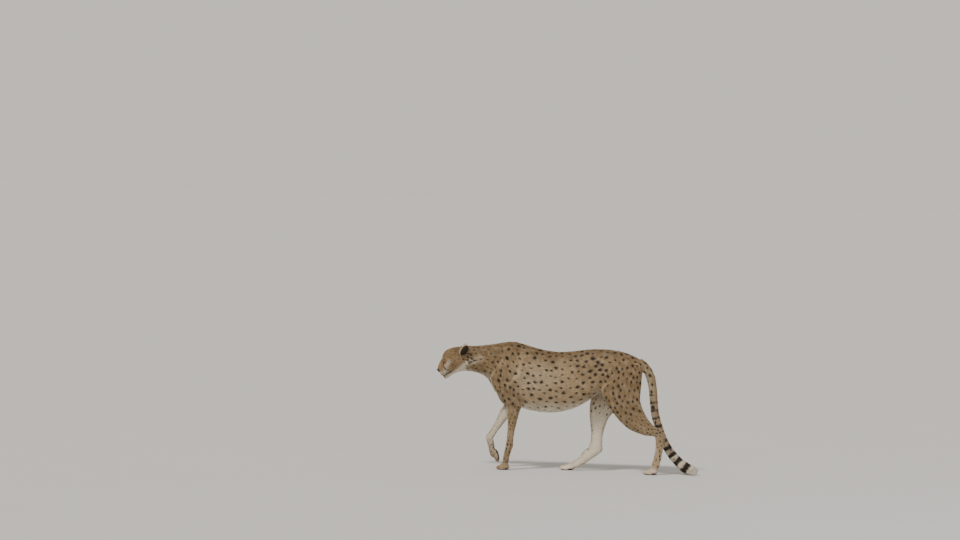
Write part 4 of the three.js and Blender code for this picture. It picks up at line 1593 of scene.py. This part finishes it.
@dataclass
class Coat:
    """The short coat: flat pointed tufts that overlap like tiles and lie along the body.

    A tuft is L long and W wide and rises H. From its root r, with d the way it lies, b across and n outward, its
    five points are r - sink n, r + 0.45 L d +/- W/2 b + H/2 n, the tip r + L d + H n, and the keel
    r + 0.4 L d + (H/2 + 0.3 W) n.
    """

    guides: Guides
    most_per_piece: int = 32500
    patch: float = 0.0015
    sink: float = 0.5
    fan: float = 0.16

    faces = np.array([[0, 2, 4], [2, 3, 4], [3, 1, 4], [1, 0, 4], [0, 1, 3], [0, 3, 2]])
    groups = {
        "coat_head": ("head",), "coat_neck": ("neck",), "coat_trunk": ("trunk",),
        "coat_shoulders": ("shoulder",), "coat_forelegs": ("forearm", "forepaw"),
        "coat_thighs": ("thigh",), "coat_hindlegs": ("shank", "hindfoot"), "coat_tail": ("tail", "brush"),
    }

    def grow(self, mesh: Mesh, fields: dict[str, NDArray], lie: NDArray) -> Roots:
        """Scatters roots over the skin, as many to a triangle as its area and the coat's density ask.

        Args:
            mesh: The skin's mesh, in millimetres.
            fields: Numbers at its points, with per_cm2 among them.
            lie: The hair's way at its points.

        Returns:
            The roots.
        """
        rng = np.random.default_rng(SEED + 1)
        mesh.calc_loop_triangles()
        tris = taken(mesh.loop_triangles, "vertices", 3, np.int32)
        points, normals = points_of(mesh), normals_of(mesh)
        a, b, c = (points[tris[:, k]] for k in range(3))
        area = np.linalg.norm(np.cross(b - a, c - a), axis=1) / 200
        wanted = area * fields["per_cm2"][tris].mean(axis=1)
        count = np.floor(wanted + rng.random(len(tris))).astype(int)
        tri = np.repeat(np.arange(len(tris)), count)
        u, v = rng.random((2, len(tri)))
        over = u + v > 1
        u, v = np.where(over, 1 - u, u), np.where(over, 1 - v, v)
        share = np.stack([1 - u - v, u, v], axis=-1)
        corners = tris[tri]

        def blend(values: NDArray) -> NDArray:
            """Reads a field inside its triangle."""
            return np.einsum("ij,ij...->i...", share, values[corners])

        nearest = corners[np.arange(len(tri)), share.argmax(axis=1)]
        values = {k: blend(v) for k, v in fields.items()}
        values |= {k: fields[k][nearest] for k in ("guide", "out", "rise", "arc")}
        return Roots(blend(points), unit(blend(normals)), blend(lie), values)

    def tufts(self, roots: Roots, seed: int) -> tuple[NDArray, NDArray]:
        """Works out all tufts' points.

        Args:
            roots: Where they grow.
            seed: Chance's seed.

        Returns:
            Points as (tuft, five, xyz), and each tuft's tone from 0 to 1.
        """
        rng = np.random.default_rng(seed)
        n, value = len(roots.place), roots.values
        length = value["length"] * rng.uniform(0.72, 1.25, n)
        width = value["width"] * rng.uniform(0.75, 1.2, n)
        lift = np.radians(value["lift"]) * rng.uniform(0.55, 1.35, n)
        normal = roots.normal
        flat = roots.lie - normal * np.einsum("ij,ij->i", roots.lie, normal)[:, None]
        way = unit(flat)
        across = np.cross(normal, way)
        turn = 0.14 * waves(roots.place, 60, 3) + 0.16 * waves(roots.place, 17, 4) + rng.normal(0, self.fan, n)
        way = way * np.cos(turn)[:, None] + across * np.sin(turn)[:, None]
        across = np.cross(normal, way)
        high = length * np.sin(lift)

        def at(along: float, side: float, rise: NDArray) -> NDArray:
            """One point of every tuft."""
            level = roots.place + way * (along * length)[:, None] + across * (side * width)[:, None]
            return level + normal * rise[:, None]

        points = np.stack([
            at(0, 0, np.full(n, -self.sink)), at(0.45, 0.5, 0.5 * high), at(0.45, -0.5, 0.5 * high),
            at(1, 0, high), at(0.4, 0, 0.5 * high + 0.3 * width),
        ], axis=1)
        points[..., 2] = np.maximum(points[..., 2], FLOOR_GAP)
        return points, rng.random(n)

    def unwrap(self, roots: Roots, names: list[str]) -> NDArray:
        """Lays each root out by its angle round the body and its distance along it, a column to each guide.

        Args:
            roots: The roots of one piece.
            names: The guides of the piece.

        Returns:
            Five map places for each tuft, in a patch round its root's place.
        """
        column = np.zeros(len(roots.place))
        down = np.zeros(len(roots.place))
        for k, name in enumerate(names):
            index = self.guides.names.index(name)
            mine = roots.values["guide"] == index
            column[mine] = k
            down[mine] = np.clip(roots.values["arc"][mine] / self.guides.all[index].arc[-1], 0, 1)
        angle = np.arctan2(roots.values["out"], roots.values["rise"]) / (2 * np.pi) + 0.5
        u = (column + 0.02 + 0.96 * angle) / max(len(names), 1)
        root = np.stack([u, 0.01 + 0.98 * down], axis=-1)
        around = np.array([[0, -1], [-1, 0], [1, 0], [0, 1], [0, 0]]) * self.patch
        return root[:, None, :] + around

    def piece(self, name: str, roots: Roots, guides: list[str], material: Material, seed: int) -> Object:
        """Makes one piece of coat: its tufts, their stored fields and their map.

        Args:
            name: The piece's name.
            roots: Where its tufts grow.
            guides: The guides that they grow on.
            material: The hair.
            seed: Chance's seed.

        Returns:
            The piece.
        """
        points, tone = self.tufts(roots, seed)
        faces = (np.arange(len(points))[:, None, None] * 5 + self.faces).reshape(-1, 3)
        mesh = mesh_of(name, in_frame(points.reshape(-1, 3)), faces)
        fields = {key: roots.values[key] for key in ("dark", "pale", "dorsal", "bare")} | {"tone": tone}
        set_attributes(mesh, {key: np.repeat(values, 5) for key, values in fields.items()})
        uv = self.unwrap(roots, guides).reshape(-1, 2)
        mesh.uv_layers.new(name="OFBake").data.foreach_set("uv", uv[faces].astype(np.float32).ravel())
        return new_object(name, mesh, material)

    def build(self, roots: Roots, material: Material) -> list[Object]:
        """Parts the coat by the length of body it grows on, and again where a part has too many tufts.

        Args:
            roots: Where all the tufts grow.
            material: The hair.

        Returns:
            The pieces.
        """
        made = []
        for key, starts in self.groups.items():
            guides = [n for n in self.guides.names if n.startswith(starts)]
            index = [self.guides.names.index(n) for n in guides]
            mine = roots.pick(np.isin(roots.values["guide"], index))
            pieces = -(-len(mine.place) // self.most_per_piece)
            order = np.argsort(mine.place[:, 1] if pieces == 2 else mine.place[:, 0])
            for k, part in enumerate(np.array_split(order, max(pieces, 1))):
                name = key if pieces < 2 else f"{key}_{k + 1}"
                obj = self.piece(name, mine.pick(part), guides, material, SEED + len(made) * 10)
                made.append(finished(obj, "tail_brush" if key == "coat_tail" else "coat"))
        return made


# ------------------------------ head pieces
@dataclass
class Ears:
    """Small round ears: a cup with a thin wall, black behind with a tawny rim, and pale hair inside."""

    plan: BodyPlan
    at: tuple = (20, 52, 19)
    height: float = 66
    width: float = 62
    depth: float = 32
    wall: float = 3.2
    back: float = 58
    splay: float = 36
    inward: float = 75
    middle: float = 0.42
    reach: float = 0.57
    rings: int = 26
    around: int = 72
    hairs: int = 5200

    def frame(self, side: Side) -> LocalFrame:
        """The ear's frame: z up the ear, x out of its hollow.

        Args:
            side: Which ear.

        Returns:
            The frame, in the animal's.
        """
        s = -side.value
        b, p, w = math.radians(-self.back), math.radians(-s * self.splay), math.radians(-s * self.inward)
        twist = np.array([[math.cos(w), math.sin(w), 0], [-math.sin(w), math.cos(w), 0], [0, 0, 1]])
        tip = np.array([[math.cos(b), 0, -math.sin(b)], [0, 1, 0], [math.sin(b), 0, math.cos(b)]])
        lean = np.array([[1, 0, 0], [0, math.cos(p), math.sin(p)], [0, -math.sin(p), math.cos(p)]])
        head = self.plan.head()
        origin = head.place(np.array([self.at[0], s * self.at[1], self.at[2]]))
        return LocalFrame(origin, twist @ tip @ lean @ head.axes)

    def surface(self, u: NDArray, r: NDArray, inner: NDArray) -> NDArray:
        """A dished disc: y = width / 2 * r * cos u, z = height * (middle + reach * r * sin u), x from an oval.

        Args:
            u: Angle round the disc.
            r: Share of the way out from the middle, 0 to 1.
            inner: True for the hollow's side.

        Returns:
            The points.
        """
        thick = self.wall * np.sqrt(np.maximum(1 - r**6, 0)) * inner
        x = -self.depth / 2 * np.sqrt(np.maximum(1 - (0.97 * r) ** 2, 0)) + thick + 3.4 * r**5
        y = self.width / 2 * r * np.cos(u) * 0.98
        z = self.height * self.middle + self.height * self.reach * r * np.sin(u)
        return np.stack(np.broadcast_arrays(x, y, z), axis=-1)

    def black(self, own: NDArray, share: NDArray) -> NDArray:
        """The depth inside the back's black patch, which ends short of the rim and above the root."""
        return np.minimum((0.93 - share) * 26, ((own[:, 2] - 8) / self.height + 0.2) * 40)

    def build(self, side: Side, material: Material) -> Roots:
        """Makes one ear: the back's disc out to the rim and the hollow's disc in again.

        Args:
            side: Which ear.
            material: The hide.

        Returns:
            The roots of its hair.
        """
        u = np.linspace(0, 2 * math.pi, self.around, endpoint=False)[None, :]
        r = np.concatenate([np.linspace(0.02, 1, self.rings), np.linspace(0.995, 0.02, self.rings)])[:, None]
        shell = tube(self.surface(u, r, np.arange(len(r))[:, None] >= self.rings))
        own, at, name = shell.points, self.frame(side), side.name.lower()
        rise = (own[:, 2] - self.height * self.middle) / (self.height * self.reach)
        share = np.hypot(own[:, 1] / (self.width / 2), rise)
        inside = np.zeros(len(own))
        inside[self.rings * self.around : 2 * self.rings * self.around] = 1
        inside[-1] = 1
        obj = placed_piece(f"ear_shell_{name}", at.carry(shell), material, "ear", f"ear_{name}")
        set_attributes(obj.data, {
            "dark": np.where(inside > 0, -10, self.black(own, share)),
            "pale": np.clip(inside * ramp(share, 1.0, 0.7) + 0.2 * ramp(share, 0.9, 1.0), 0, 1),
            "dorsal": 0 * share, "tone": 0.5 + 0 * share, "bare": 0.55 * inside * ramp(share, 0.45, 0.1),
        })
        return self.hair_roots(at, name)

    def hair_roots(self, at: LocalFrame, name: str) -> Roots:
        """Roots of the ear's hair: over the back and the rim and, longer and paler, across the hollow.

        Args:
            at: The ear's frame.
            name: The side's name, whose length sets the seed.

        Returns:
            The roots.
        """
        rng = np.random.default_rng(SEED + len(name))
        u, r = rng.uniform(0, 2 * math.pi, self.hairs), np.sqrt(rng.random(self.hairs))
        inner = rng.random(self.hairs) < 0.42
        local = self.surface(u, r, inner)
        step = 0.01
        du, dr = self.surface(u + step, r, inner) - local, self.surface(u, r - step, inner) - local
        normal = unit(np.cross(du, dr))
        normal *= np.where(inner, 1, -1)[:, None] * np.sign(normal[:, :1] + 1e-9)
        lie = np.where(inner[:, None], [0.25, 0, 1.0], [0.0, 0, 1.0])
        lie = lie + 0.5 * unit(local - [0, 0, self.height * self.middle])
        values = {
            "length": np.where(inner, 7.0, 5.5), "width": np.where(inner, 1.3, 1.5),
            "lift": np.where(inner, 16.0, 12.0), "dark": np.where(inner, -10, self.black(local, r)),
            "pale": np.clip(inner * 0.6 + 0.15 * (r > 0.92), 0, 1), "dorsal": 0 * u, "bare": 0 * u,
            "out": local[:, 1], "rise": local[:, 2], "arc": 40 * r, "guide": 0 * u,
        }
        return Roots(at.place(local), at.turn(normal), at.turn(lie), values)


@dataclass
class Nose:
    """The nose's bare leather: a blunt wedge, with a comma of a nostril on each side and a cleft below."""

    plan: BodyPlan
    centre: tuple = (192.6, 0, 33.6)
    radii: tuple = (11.2, 17.0, 12.4)
    nostril: tuple = (8.2, 7.4, -0.4)

    def build(self) -> None:
        """Makes a squared ball whose sides draw in below, dented at the nostrils and along the cleft.

        Each unit coordinate is raised to the power 0.82, which squares the ball. The dent is
        6 mm * e to the power -(distance / 2.8 mm)^2 from the nostril's comma, along the way inward.
        """
        shell = ball([0, 0, 0], [1, 1, 1], 96, 64)
        p = np.sign(shell.points) * np.abs(shell.points) ** 0.82
        low = ramp(p[:, 2], 0.35, -1.0)
        local = p * np.array(self.radii) * np.stack([1 - 0.06 * low, 1 - 0.5 * low, 1 + 0 * low], axis=-1)
        local[:, 0] = np.where(local[:, 0] > 7, 7 + (local[:, 0] - 7) * 0.5, local[:, 0])
        comma = np.array(self.nostril) + [[0, -1.8, -2.2], [0, 0, 0], [-2.6, 4.2, 1.0], [-6.5, 6.4, -1.4]]
        dent = 6.0 * np.exp(-((line_distance(one_sided(local), comma) / 2.8) ** 2))
        cleft = 2.2 * np.exp(-((np.abs(local[:, 1]) / 1.1) ** 2)) * ramp(local[:, 2], 4, -3)
        local = local - unit(local) * np.where(local[:, 0] > -4, dent + cleft, 0)[:, None]
        shell = self.plan.head().carry(Shell(local + self.centre, shell.faces))
        placed_piece("nose_leather", shell, NOSE_LEATHER.build(), "nose", "nose")


@dataclass
class Claws:
    """Blunt, half-sheathed claws: eighteen curved horn cones, thicker above than across."""

    plan: BodyPlan
    length: float = 15
    radius: float = 2.9
    bend: float = 50
    rings: int = 12

    def one(self, at: LocalFrame, root: NDArray, droop: float) -> Shell:
        """A cone along an arc that bends down: its radius falls as what is left of its length to the 0.6.

        Args:
            at: The paw's frame.
            root: Where it starts, in that frame.
            droop: The way it starts, in degrees below forward.

        Returns:
            The claw, in the animal's frame.
        """
        share = np.linspace(0, 0.985, self.rings)[:, None]
        turn = np.linspace(0, 2 * math.pi, 14, endpoint=False)[None, :]
        way = np.radians(droop + self.bend * share)
        steps = np.hstack([np.cos(way), -np.sin(way)])[:-1] * (self.length / self.rings)
        steps = np.vstack([[[0, 0]], steps])
        middle = np.cumsum(steps, axis=0)
        r = self.radius * (1 - share) ** 0.6
        across, rise = 0.72 * r * np.cos(turn), 1.12 * r * np.sin(turn)
        x, z = middle[:, :1] + rise * np.sin(way), middle[:, 1:] + rise * np.cos(way)
        return at.carry(tube(np.stack([x, across, z], axis=-1) + root))

    def build(self) -> None:
        """Makes one claw to each toe, and a dewclaw inside each wrist where the frame has it."""
        shells, nodes = [], []
        for name, (at, reach, _) in self.plan.paws().items():
            for k, toe in enumerate(self.plan.toes(reach)):
                shells.append(self.one(at, np.array([toe[0] + self.plan.toe[0] - 9, toe[1], 14.5]), 22))
                nodes.append(f"claw_{name}_{k + 1}")
        for side in Side:
            node = f"claw_forepaw_{side.name.lower()}_5"
            low, high = (np.array(v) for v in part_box(node))
            centre = ((low + high) / 2 - self.plan.shift()) * 1000
            at = self.plan.paw((0, 0, 0), side, 0)
            shells.append(self.one(at, at.read(centre) + [-1.5, 1.4 * side.value, 7.5], 48))
            nodes.append(node)
        placed_piece("claws", joined(shells), CLAW_HORN.build(), "claw", *nodes)


@dataclass
class Whiskers:
    """Stiff white whiskers: three rows on each lip, curving out and back."""

    plan: BodyPlan
    longest: float = 62
    thick: float = 0.36
    to_a_side: int = 14
    to_a_row: int = 5

    def build(self) -> None:
        """Makes each a thin cone along root + length * (s * out + s squared * (sweep back and down))."""
        shells, rng = [], np.random.default_rng(SEED + 5)
        head = self.plan.head()
        s = np.linspace(0, 1, 12)
        turn = np.linspace(0, 2 * math.pi, 5, endpoint=False)[None, :]
        for side in (-1, 1):
            for k in range(self.to_a_side):
                row, place = divmod(k, self.to_a_row)
                root = np.array([182 - 6.5 * place - 1.5 * row, side * (24 + 2.4 * place), 9 - 6 * row])
                length = self.longest * rng.uniform(0.5, 1.0)
                out = unit(np.array([0.25 - 0.16 * place, side, 0.1 - 0.22 * row]) + rng.normal(0, 0.08, 3))
                path = root + length * (s[:, None] * out + (s**2)[:, None] * np.array([-0.38, 0, -0.16]))
                way = unit(np.gradient(path, axis=0))
                first = unit(np.cross(way, [0, 0, 1]))
                second = np.cross(way, first)
                r = (self.thick * (1 - 0.75 * s))[:, None]
                rings = path[:, None] + (r * np.cos(turn))[..., None] * first[:, None]
                rings = rings + (r * np.sin(turn))[..., None] * second[:, None]
                shells.append(head.carry(tube(rings)))
        placed_piece("whiskers", joined(shells), WHISKER.build(), "coat")


# ------------------------------ studio
@dataclass(frozen=True)
class Studio:
    """A plain pale floor, soft light from above on the left, and a distant camera a little above the animal."""

    camera_at: tuple = (-0.5577, -16.54, 1.712)
    pitch: float = 1.755
    roll: float = 2.0
    focal_share: float = 2722 / 960
    floor_reach: float = 400
    sky_low: float = 0.743
    sky_high: float = 0.61

    @staticmethod
    def put(data: ID, at: tuple, axes: list[NDArray]) -> Object:
        """Puts a camera or a lamp in the scene.

        Args:
            data: The camera or the lamp.
            at: Where it stands.
            axes: Its own x, y and z; it looks against z.

        Returns:
            The object.
        """
        obj = bpy.data.objects.new(data.name, data)
        turned = Matrix(np.stack(axes, axis=1).tolist()).to_4x4()
        obj.matrix_world = Matrix.Translation(at) @ turned
        bpy.context.scene.collection.objects.link(obj)
        return obj

    def camera(self) -> None:
        """A long lens: right, up and forward are set out from the pitch and the roll."""
        p, r = math.radians(self.pitch), math.radians(self.roll)
        forward = np.array([0, math.cos(p), -math.sin(p)])
        upright = np.array([0, math.sin(p), math.cos(p)])
        side = np.array([1.0, 0, 0])
        right = math.cos(r) * side + math.sin(r) * upright
        up = -math.sin(r) * side + math.cos(r) * upright
        data = bpy.data.cameras.new("camera")
        data.sensor_width, data.clip_end = 36.0, 1000.0
        data.lens = 36.0 * self.focal_share
        bpy.context.scene.camera = self.put(data, self.camera_at, [right, up, -forward])

    def ground(self) -> None:
        """Lays a floor of matt pale plaster."""
        x = self.floor_reach * np.array([-1.0, 1.0, 1.0, -1.0])
        mesh = mesh_of("floor", np.stack([x, np.sort(x), 0 * x], axis=-1), np.array([[0, 1, 2, 3]]))
        new_object("floor", mesh, PLASTER.build())

    def lamp(self, data: Light, at: tuple, towards: tuple, strength: float, tint: str) -> None:
        """Puts a lamp in the scene with its strength and its colour.

        Args:
            data: The lamp.
            at: Where it stands.
            towards: The way from what it lights to the lamp.
            strength: Its strength in Blender's unit for its kind.
            tint: Its colour.
        """
        data.energy, data.color = strength, linear(tint)[:3]
        back = unit(np.array(towards, float))
        right = unit(np.cross([0, 0, 1], back))
        self.put(data, at, [right, np.cross(back, right), back])

    def build(self) -> None:
        """Sets up camera, floor, lamps and a pale sky, a little brighter low down, where it meets the floor."""
        self.camera()
        self.ground()
        key = bpy.data.lights.new("key", "SUN")
        key.angle = math.radians(8)
        self.lamp(key, (0, 0, 0), (-0.55, -0.62, 1.0), 2.75, "#FFFBF6")
        fill = bpy.data.lights.new("fill", "AREA")
        fill.size = 3.5
        self.lamp(fill, (4.5, -5.5, 2.6), (4.5, -5.5, 2.2), 60, "#EAF0FF")
        world = bpy.data.worlds.new("studio")
        world.use_nodes = True
        tree = world.node_tree
        tree.nodes["Background"].inputs["Color"].default_value = linear("#FFF9F0")
        way = add_node(tree, "TexCoord").outputs["Generated"]
        height = add_node(tree, "SeparateXYZ", {0: way}).outputs[2]
        reach = {1: 0.06, 2: 0.4, 3: self.sky_low, 4: self.sky_high}
        glow = add_node(tree, "MapRange", {"Value": height, **reach})
        tree.links.new(glow.outputs[0], tree.nodes["Background"].inputs["Strength"])
        bpy.context.scene.world = world


# ------------------------------ the animal
def skin_map(mesh: Mesh, guides: Guides, reading: Reading) -> None:
    """Unwraps the skin for its baked colours: a column to each guide, angle across and distance along.

    Args:
        mesh: The skin's mesh.
        guides: The guides.
        reading: Their fields at its points.
    """
    names = len(guides.names)
    lengths = np.array([g.arc[-1] for g in guides.all])
    down = np.clip(reading.arc / lengths[reading.guide], 0, 1)
    angle = np.arctan2(reading.out, reading.rise) / (2 * np.pi) + 0.5
    flat = taken(mesh.loops, "vertex_index", 1, np.int32)
    starts = taken(mesh.polygons, "loop_start", 1, np.int32)
    face = np.repeat(np.arange(len(starts)), np.diff(np.append(starts, len(flat))))
    first = flat[starts][face]
    turn = angle[flat] + np.round(angle[first] - angle[flat])
    same = reading.guide[flat] == reading.guide[first]
    column = reading.guide[first]
    u = (column + 0.03 + 0.94 * np.clip(np.where(same, turn, angle[first]), 0, 1)) / names
    v = 0.01 + 0.98 * np.where(same, down[flat], down[first])
    layer = mesh.uv_layers.new(name="OFBake")
    layer.data.foreach_set("uv", np.stack([u, v], axis=-1).astype(np.float32).ravel())


def softened(mesh: Mesh, values: NDArray, ease: NDArray) -> NDArray:
    """Blurs a field over the skin, so that no border between lengths of body shows.

    Args:
        mesh: The skin's mesh.
        values: The field at its points.
        ease: How fast each point blurs, from 0 to 1.

    Returns:
        The blurred field.
    """
    edges = edges_of(mesh)
    for _ in range(22):
        values = values + 0.8 * ease * (neighbour_mean(values[:, None], edges)[:, 0] - values)
    return values


def flow(mesh: Mesh, reading: Reading) -> NDArray:
    """Smooths the hair's way over the skin, so that it turns gently from one length of body to the next.

    Args:
        mesh: The skin's mesh.
        reading: The guides' fields at its points.

    Returns:
        The way at each point.
    """
    edges, lie = edges_of(mesh), unit(reading.lie)
    for _ in range(36):
        lie = unit(0.4 * lie + 0.6 * neighbour_mean(lie, edges))
    return lie


def groom(guides: Guides, points: NDArray, reading: Reading, fields: dict[str, NDArray]) -> None:
    """Shortens the hair towards the nose, lengthens it on belly and nape, and bares soles, nose and lid rims.

    Args:
        guides: The guides.
        points: Skin points in millimetres.
        reading: The guides' fields there.
        fields: Those fields and the markings by name, changed in place.
    """
    local = guides.plan.head().read(points)
    forward = ramp(local[:, 0], 20, 175) * guides.of(reading, "head")
    nape = ramp(local[:, 0], 60, -20) * guides.of(reading, "head")
    fields["length"] = fields["length"] * (1 - 0.52 * forward) * (1 + 0.9 * nape)
    fields["width"] = fields["width"] * (1 - 0.4 * forward) * (1 + 0.5 * nape)
    fields["per_cm2"] = fields["per_cm2"] * (1 + 0.9 * forward) * (1 - 0.55 * nape)
    belly = ramp(reading.rise, -0.5, -0.95) * guides.of(reading, "trunk")
    fields["length"] *= 1 + 0.35 * belly
    hidden = np.maximum(ramp(points[:, 2], 5, 1.5), ramp(fields["bare"], 0.2, 0.6))
    for side in Side:
        eye = EyePlan(side)
        q = eye.frame().read(local)
        rim = ramp(eye.gap(q[:, 0], q[:, 1]), -2.6, -1.4)
        hidden = np.where(eye.near(q, 24, -5), np.maximum(hidden, rim), hidden)
    hidden = np.maximum(hidden, ramp(guides.plan.nose_distance(local), 1.12, 1.0))
    fields["per_cm2"] *= 1 - hidden


def pattern(form: SkinForm, markings: Markings, mesh: Mesh, reading: Reading) -> dict[str, NDArray]:
    """Works out all that the coat takes from the skin: its sizes, its markings and its tones.

    Args:
        form: The skin's form.
        markings: The markings, which find their spots here.
        mesh: The skin's mesh, in millimetres.
        reading: The guides' fields at its points.

    Returns:
        The fields at its points, by name.
    """
    guides, points, normals = form.guides, points_of(mesh), normals_of(mesh)
    fields = dict(reading.spec) | {"out": reading.out, "rise": reading.rise, "arc": reading.arc}
    fields |= {"guide": reading.guide.astype(float), "mark": markings.marks(points, reading)}
    fields["pale"], fields["dorsal"] = markings.paleness(points, reading), markings.dorsal(points, reading)
    fields["bare"] = markings.pads(points, normals)
    markings.scatter(points, normals, reading, fields["pale"])
    head, _ = form.detail(points)
    tip = np.where(guides.of(reading, "tail", "brush"), ramp(markings.tip_distance(reading), 150, 60), 0)
    for key in ("pale", "dorsal"):
        fields[key] = softened(mesh, fields[key], 1 - 0.8 * np.maximum(head, tip))
    cloud = markings.cloud(points) * (1 - 0.7 * head) * (1 - tip)
    fields["dorsal"] = np.clip(fields["dorsal"] + np.maximum(cloud, 0), 0, 1)
    fields["pale"] = np.clip(fields["pale"] - 0.4 * np.minimum(cloud, 0) * (1 - fields["pale"]), 0, 1)
    groom(guides, points, reading, fields)
    return fields


def main() -> None:
    """Builds the studio, then the skin, its markings and coat, and the head's and feet's own pieces."""
    logging.basicConfig(level=logging.INFO, format="%(name)s: %(message)s")
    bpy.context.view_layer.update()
    Studio().build()
    plan = BodyPlan()
    guides = Guides(plan)
    form = SkinForm(plan, guides)
    mesh, reading = form.build()
    points, normals = points_of(mesh), normals_of(mesh)
    markings = Markings(plan, guides)
    fields = pattern(form, markings, mesh, reading)
    coat = Coat(guides)
    roots = coat.grow(mesh, fields, flow(mesh, reading))
    roots.values["dark"] = np.maximum(roots.values["mark"], markings.spotted(roots.place, roots.normal))
    hide, hair = Pelage("skin_short_fur").build(), Pelage("guard_hair").build()
    dark = np.maximum(fields["mark"], markings.spotted(points, normals))
    stored = {"dark": dark} | {key: fields[key] for key in ("pale", "dorsal", "bare")}
    set_attributes(mesh, stored | {"tone": np.full(len(points), 0.4)})
    skin_map(mesh, guides, reading)
    set_points(mesh, in_frame(points))
    mesh.shade_smooth()
    mesh.name = "skin"
    mesh.materials.clear()
    own_pieces = ("eye_", "ear_", "claw_", "nose")
    flesh = [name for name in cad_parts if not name.startswith(own_pieces)]
    finished(new_object("skin", mesh, hide), "coat", *flesh)
    coat.build(roots, hair)
    ears = Ears(plan)
    for side in Side:
        ear_roots = ears.build(side, hide)
        finished(coat.piece(f"coat_ear_{side.name.lower()}", ear_roots, ["head"], hair, SEED + 90), "ear")
    glaze = EyeGlaze().build()
    for side in Side:
        name = side.name.lower()
        shell, ring = EyePlan(side).eyeball()
        eye = placed_piece(f"eyeball_{name}", plan.head().carry(shell), glaze, "eye", f"eye_{name}")
        set_attributes(eye.data, {"ring": ring})
    Nose(plan).build()
    Claws(plan).build()
    Whiskers(plan).build()


if __name__ == "__main__":
    main()
